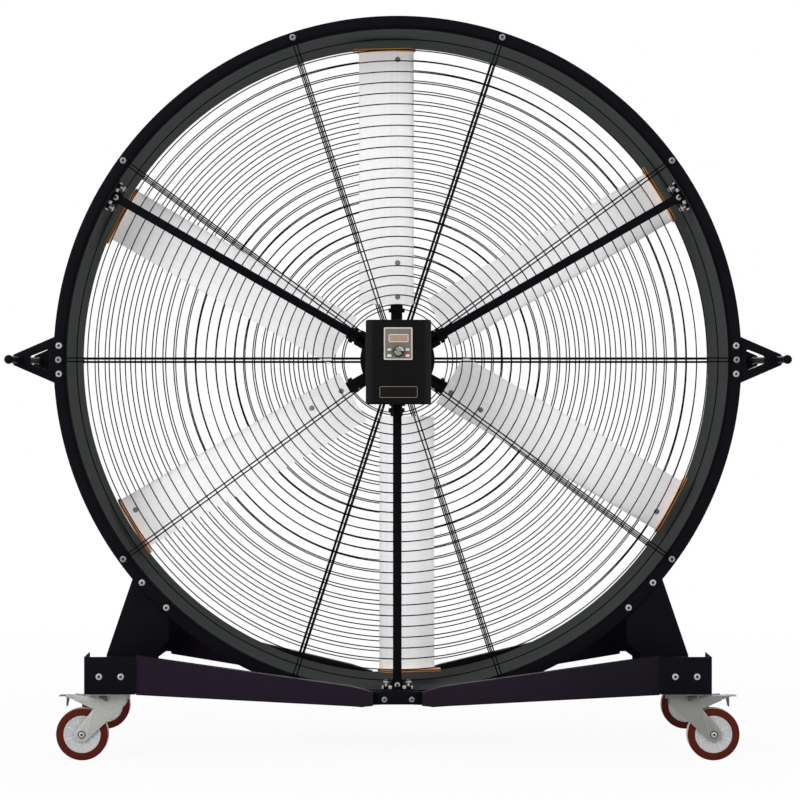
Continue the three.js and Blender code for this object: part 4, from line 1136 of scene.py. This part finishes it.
def makeCasters():
    for place in ("front_right", "front_left", "rear_right", "rear_left"):
        low, high = boxOf(f"caster_plate_{place}")
        middle = (low + high) / 2
        word = "".join(part.title() for part in place.split("_"))
        left = middle.x < 0
        spot = placeAt(middle.x, middle.y, 0) @ Matrix.Rotation(pi * left, 4, "Z")
        # The right pair take the darker copy: painted shade.
        zinc = zincSteel if left else shadedZinc
        for name, form, looks, node, slot, body in (
            ("casterPlate", casterPlateForm(), zinc, "caster_plate", "zinc_plate", None),
            ("casterFork", forkForm(), [zinc, darkSteel], "caster_fork", "zinc_plate", "swivel"),
            ("casterAxle", axleForm(), [boltSteel, darkSteel], None, "zinc_plate", "swivel"),
            ("wheelCore", coreForm(), [coreMetal, highlightRibMetal], "wheel_core", "wheel_core", "wheel"),
            ("wheelTread", treadForm(), [treadUrethane, reflectionTread], "tyre", "wheel_tread", "wheel"),
            ("brakePedal", pedalForm(), [zinc, darkSteel], "brake_pedal", "zinc_plate", "brake"),
        ):
            meshPiece(name + word, form, looks, node and f"{node}_{place}",
                      f"{body}_{place}" if body else "frame", spot, 35)


makeCasters()
print("casters made")

studio = {
    "floorColour": "#f4f4f4", "worldLight": 0.56, "size": 60,
    # the share that the camera sees as plain white, near the fan and far off, in metres
    "glow": (0.93, 1.0), "fade": (2.0, 5.0),
}
lamps = (  # place and aim in metres, size in metres, power in watts
    ("keyLamp", (-4.6, -7.2, 4.0), (0, 0, 1.1), 5.0, 400),
    ("fillLamp", (5.0, -6.0, 3.0), (0, 0, 1.0), 5.0, 150),
    ("backLamp", (1.5, 6.5, 5.0), (0, 0, 1.2), 5.0, 180),
)
lens = {
    "distance": 9300,  # from the front flange to the camera
    "offset": -76.7, "height": 1103, "scale": 2.9055,  # millimetres to a pixel on the flange
    "principal": (371.05, 375.5), "picture": 800,
}


def makeFloor():
    form = bmesh.new()
    bmesh.ops.create_grid(form, x_segments=1, y_segments=1, size=studio["size"] / mm / 2)
    floor = addObject("floor", toMesh(form))
    material, tree, place = startMaterial("painted white floor")
    paint = addNode(tree, "BsdfDiffuse", {"Color": linear(studio["floorColour"])}).outputs[0]
    glow = addNode(tree, "Emission", {"Color": (1, 1, 1, 1), "Strength": 1.0}).outputs[0]
    seen = addNode(tree, "LightPath", {}).outputs["Is Camera Ray"]
    away = addNode(tree, "VectorMath", {"operation": "LENGTH", 0: place}).outputs["Value"]
    limits = dict(zip(("To Min", "To Max", "From Min", "From Max"), (*studio["glow"], *studio["fade"])))
    level = addNode(tree, "MapRange", {"Value": away, **limits}).outputs["Result"]
    share = addNode(tree, "Math", {"operation": "MULTIPLY", 0: seen, 1: level}).outputs[0]
    mix = addNode(tree, "MixShader", {0: share, 1: paint, 2: glow}).outputs[0]
    addNode(tree, "OutputMaterial", {"Surface": mix})
    floor.data.materials.append(material)


def makeWorld():
    world = bpy.data.worlds.new("studio")
    bpy.context.scene.world = world
    world.use_nodes = True
    tree = world.node_tree
    tree.nodes.clear()
    path = addNode(tree, "LightPath", {}).outputs
    seen = path["Is Camera Ray"]
    for ray in ("Is Glossy Ray", "Is Transmission Ray"):
        seen = addNode(tree, "Math", {"operation": "MAXIMUM", 0: seen, 1: path[ray]}).outputs[0]
    level = addNode(tree, "MapRange", {"Value": seen, "To Min": studio["worldLight"], "To Max": 1.0})
    sky = addNode(tree, "Background", {"Color": (1, 1, 1, 1), "Strength": level.outputs["Result"]})
    addNode(tree, "OutputWorld", {"Surface": sky.outputs[0]})


def makeLamps():
    for name, spot, aim, size, power in lamps:
        lamp = bpy.data.lights.new(name, "AREA")
        lamp.shape, lamp.size, lamp.energy = "DISK", size, power
        holder = addObject(name, lamp)
        holder.location = spot
        holder.rotation_euler = (Vector(aim) - Vector(spot)).to_track_quat("-Z", "Y").to_euler()


def makeCamera():
    c = lens
    picture = c["picture"]
    camera = bpy.data.cameras.new("camera")
    camera.sensor_width = 36
    camera.lens = c["distance"] / c["scale"] / picture * camera.sensor_width
    camera.shift_x = (picture / 2 - c["principal"][0]) / picture
    camera.shift_y = (c["principal"][1] - picture / 2) / picture
    holder = addObject("camera", camera)
    holder.location = Vector((c["offset"], flangeFront - c["distance"], c["height"])) * mm
    holder.rotation_euler = (pi / 2, 0, 0)
    bpy.context.scene.camera = holder


makeFloor()
makeWorld()
makeLamps()
makeCamera()
bpy.context.scene.view_settings.view_transform = "Standard"
print("studio made")
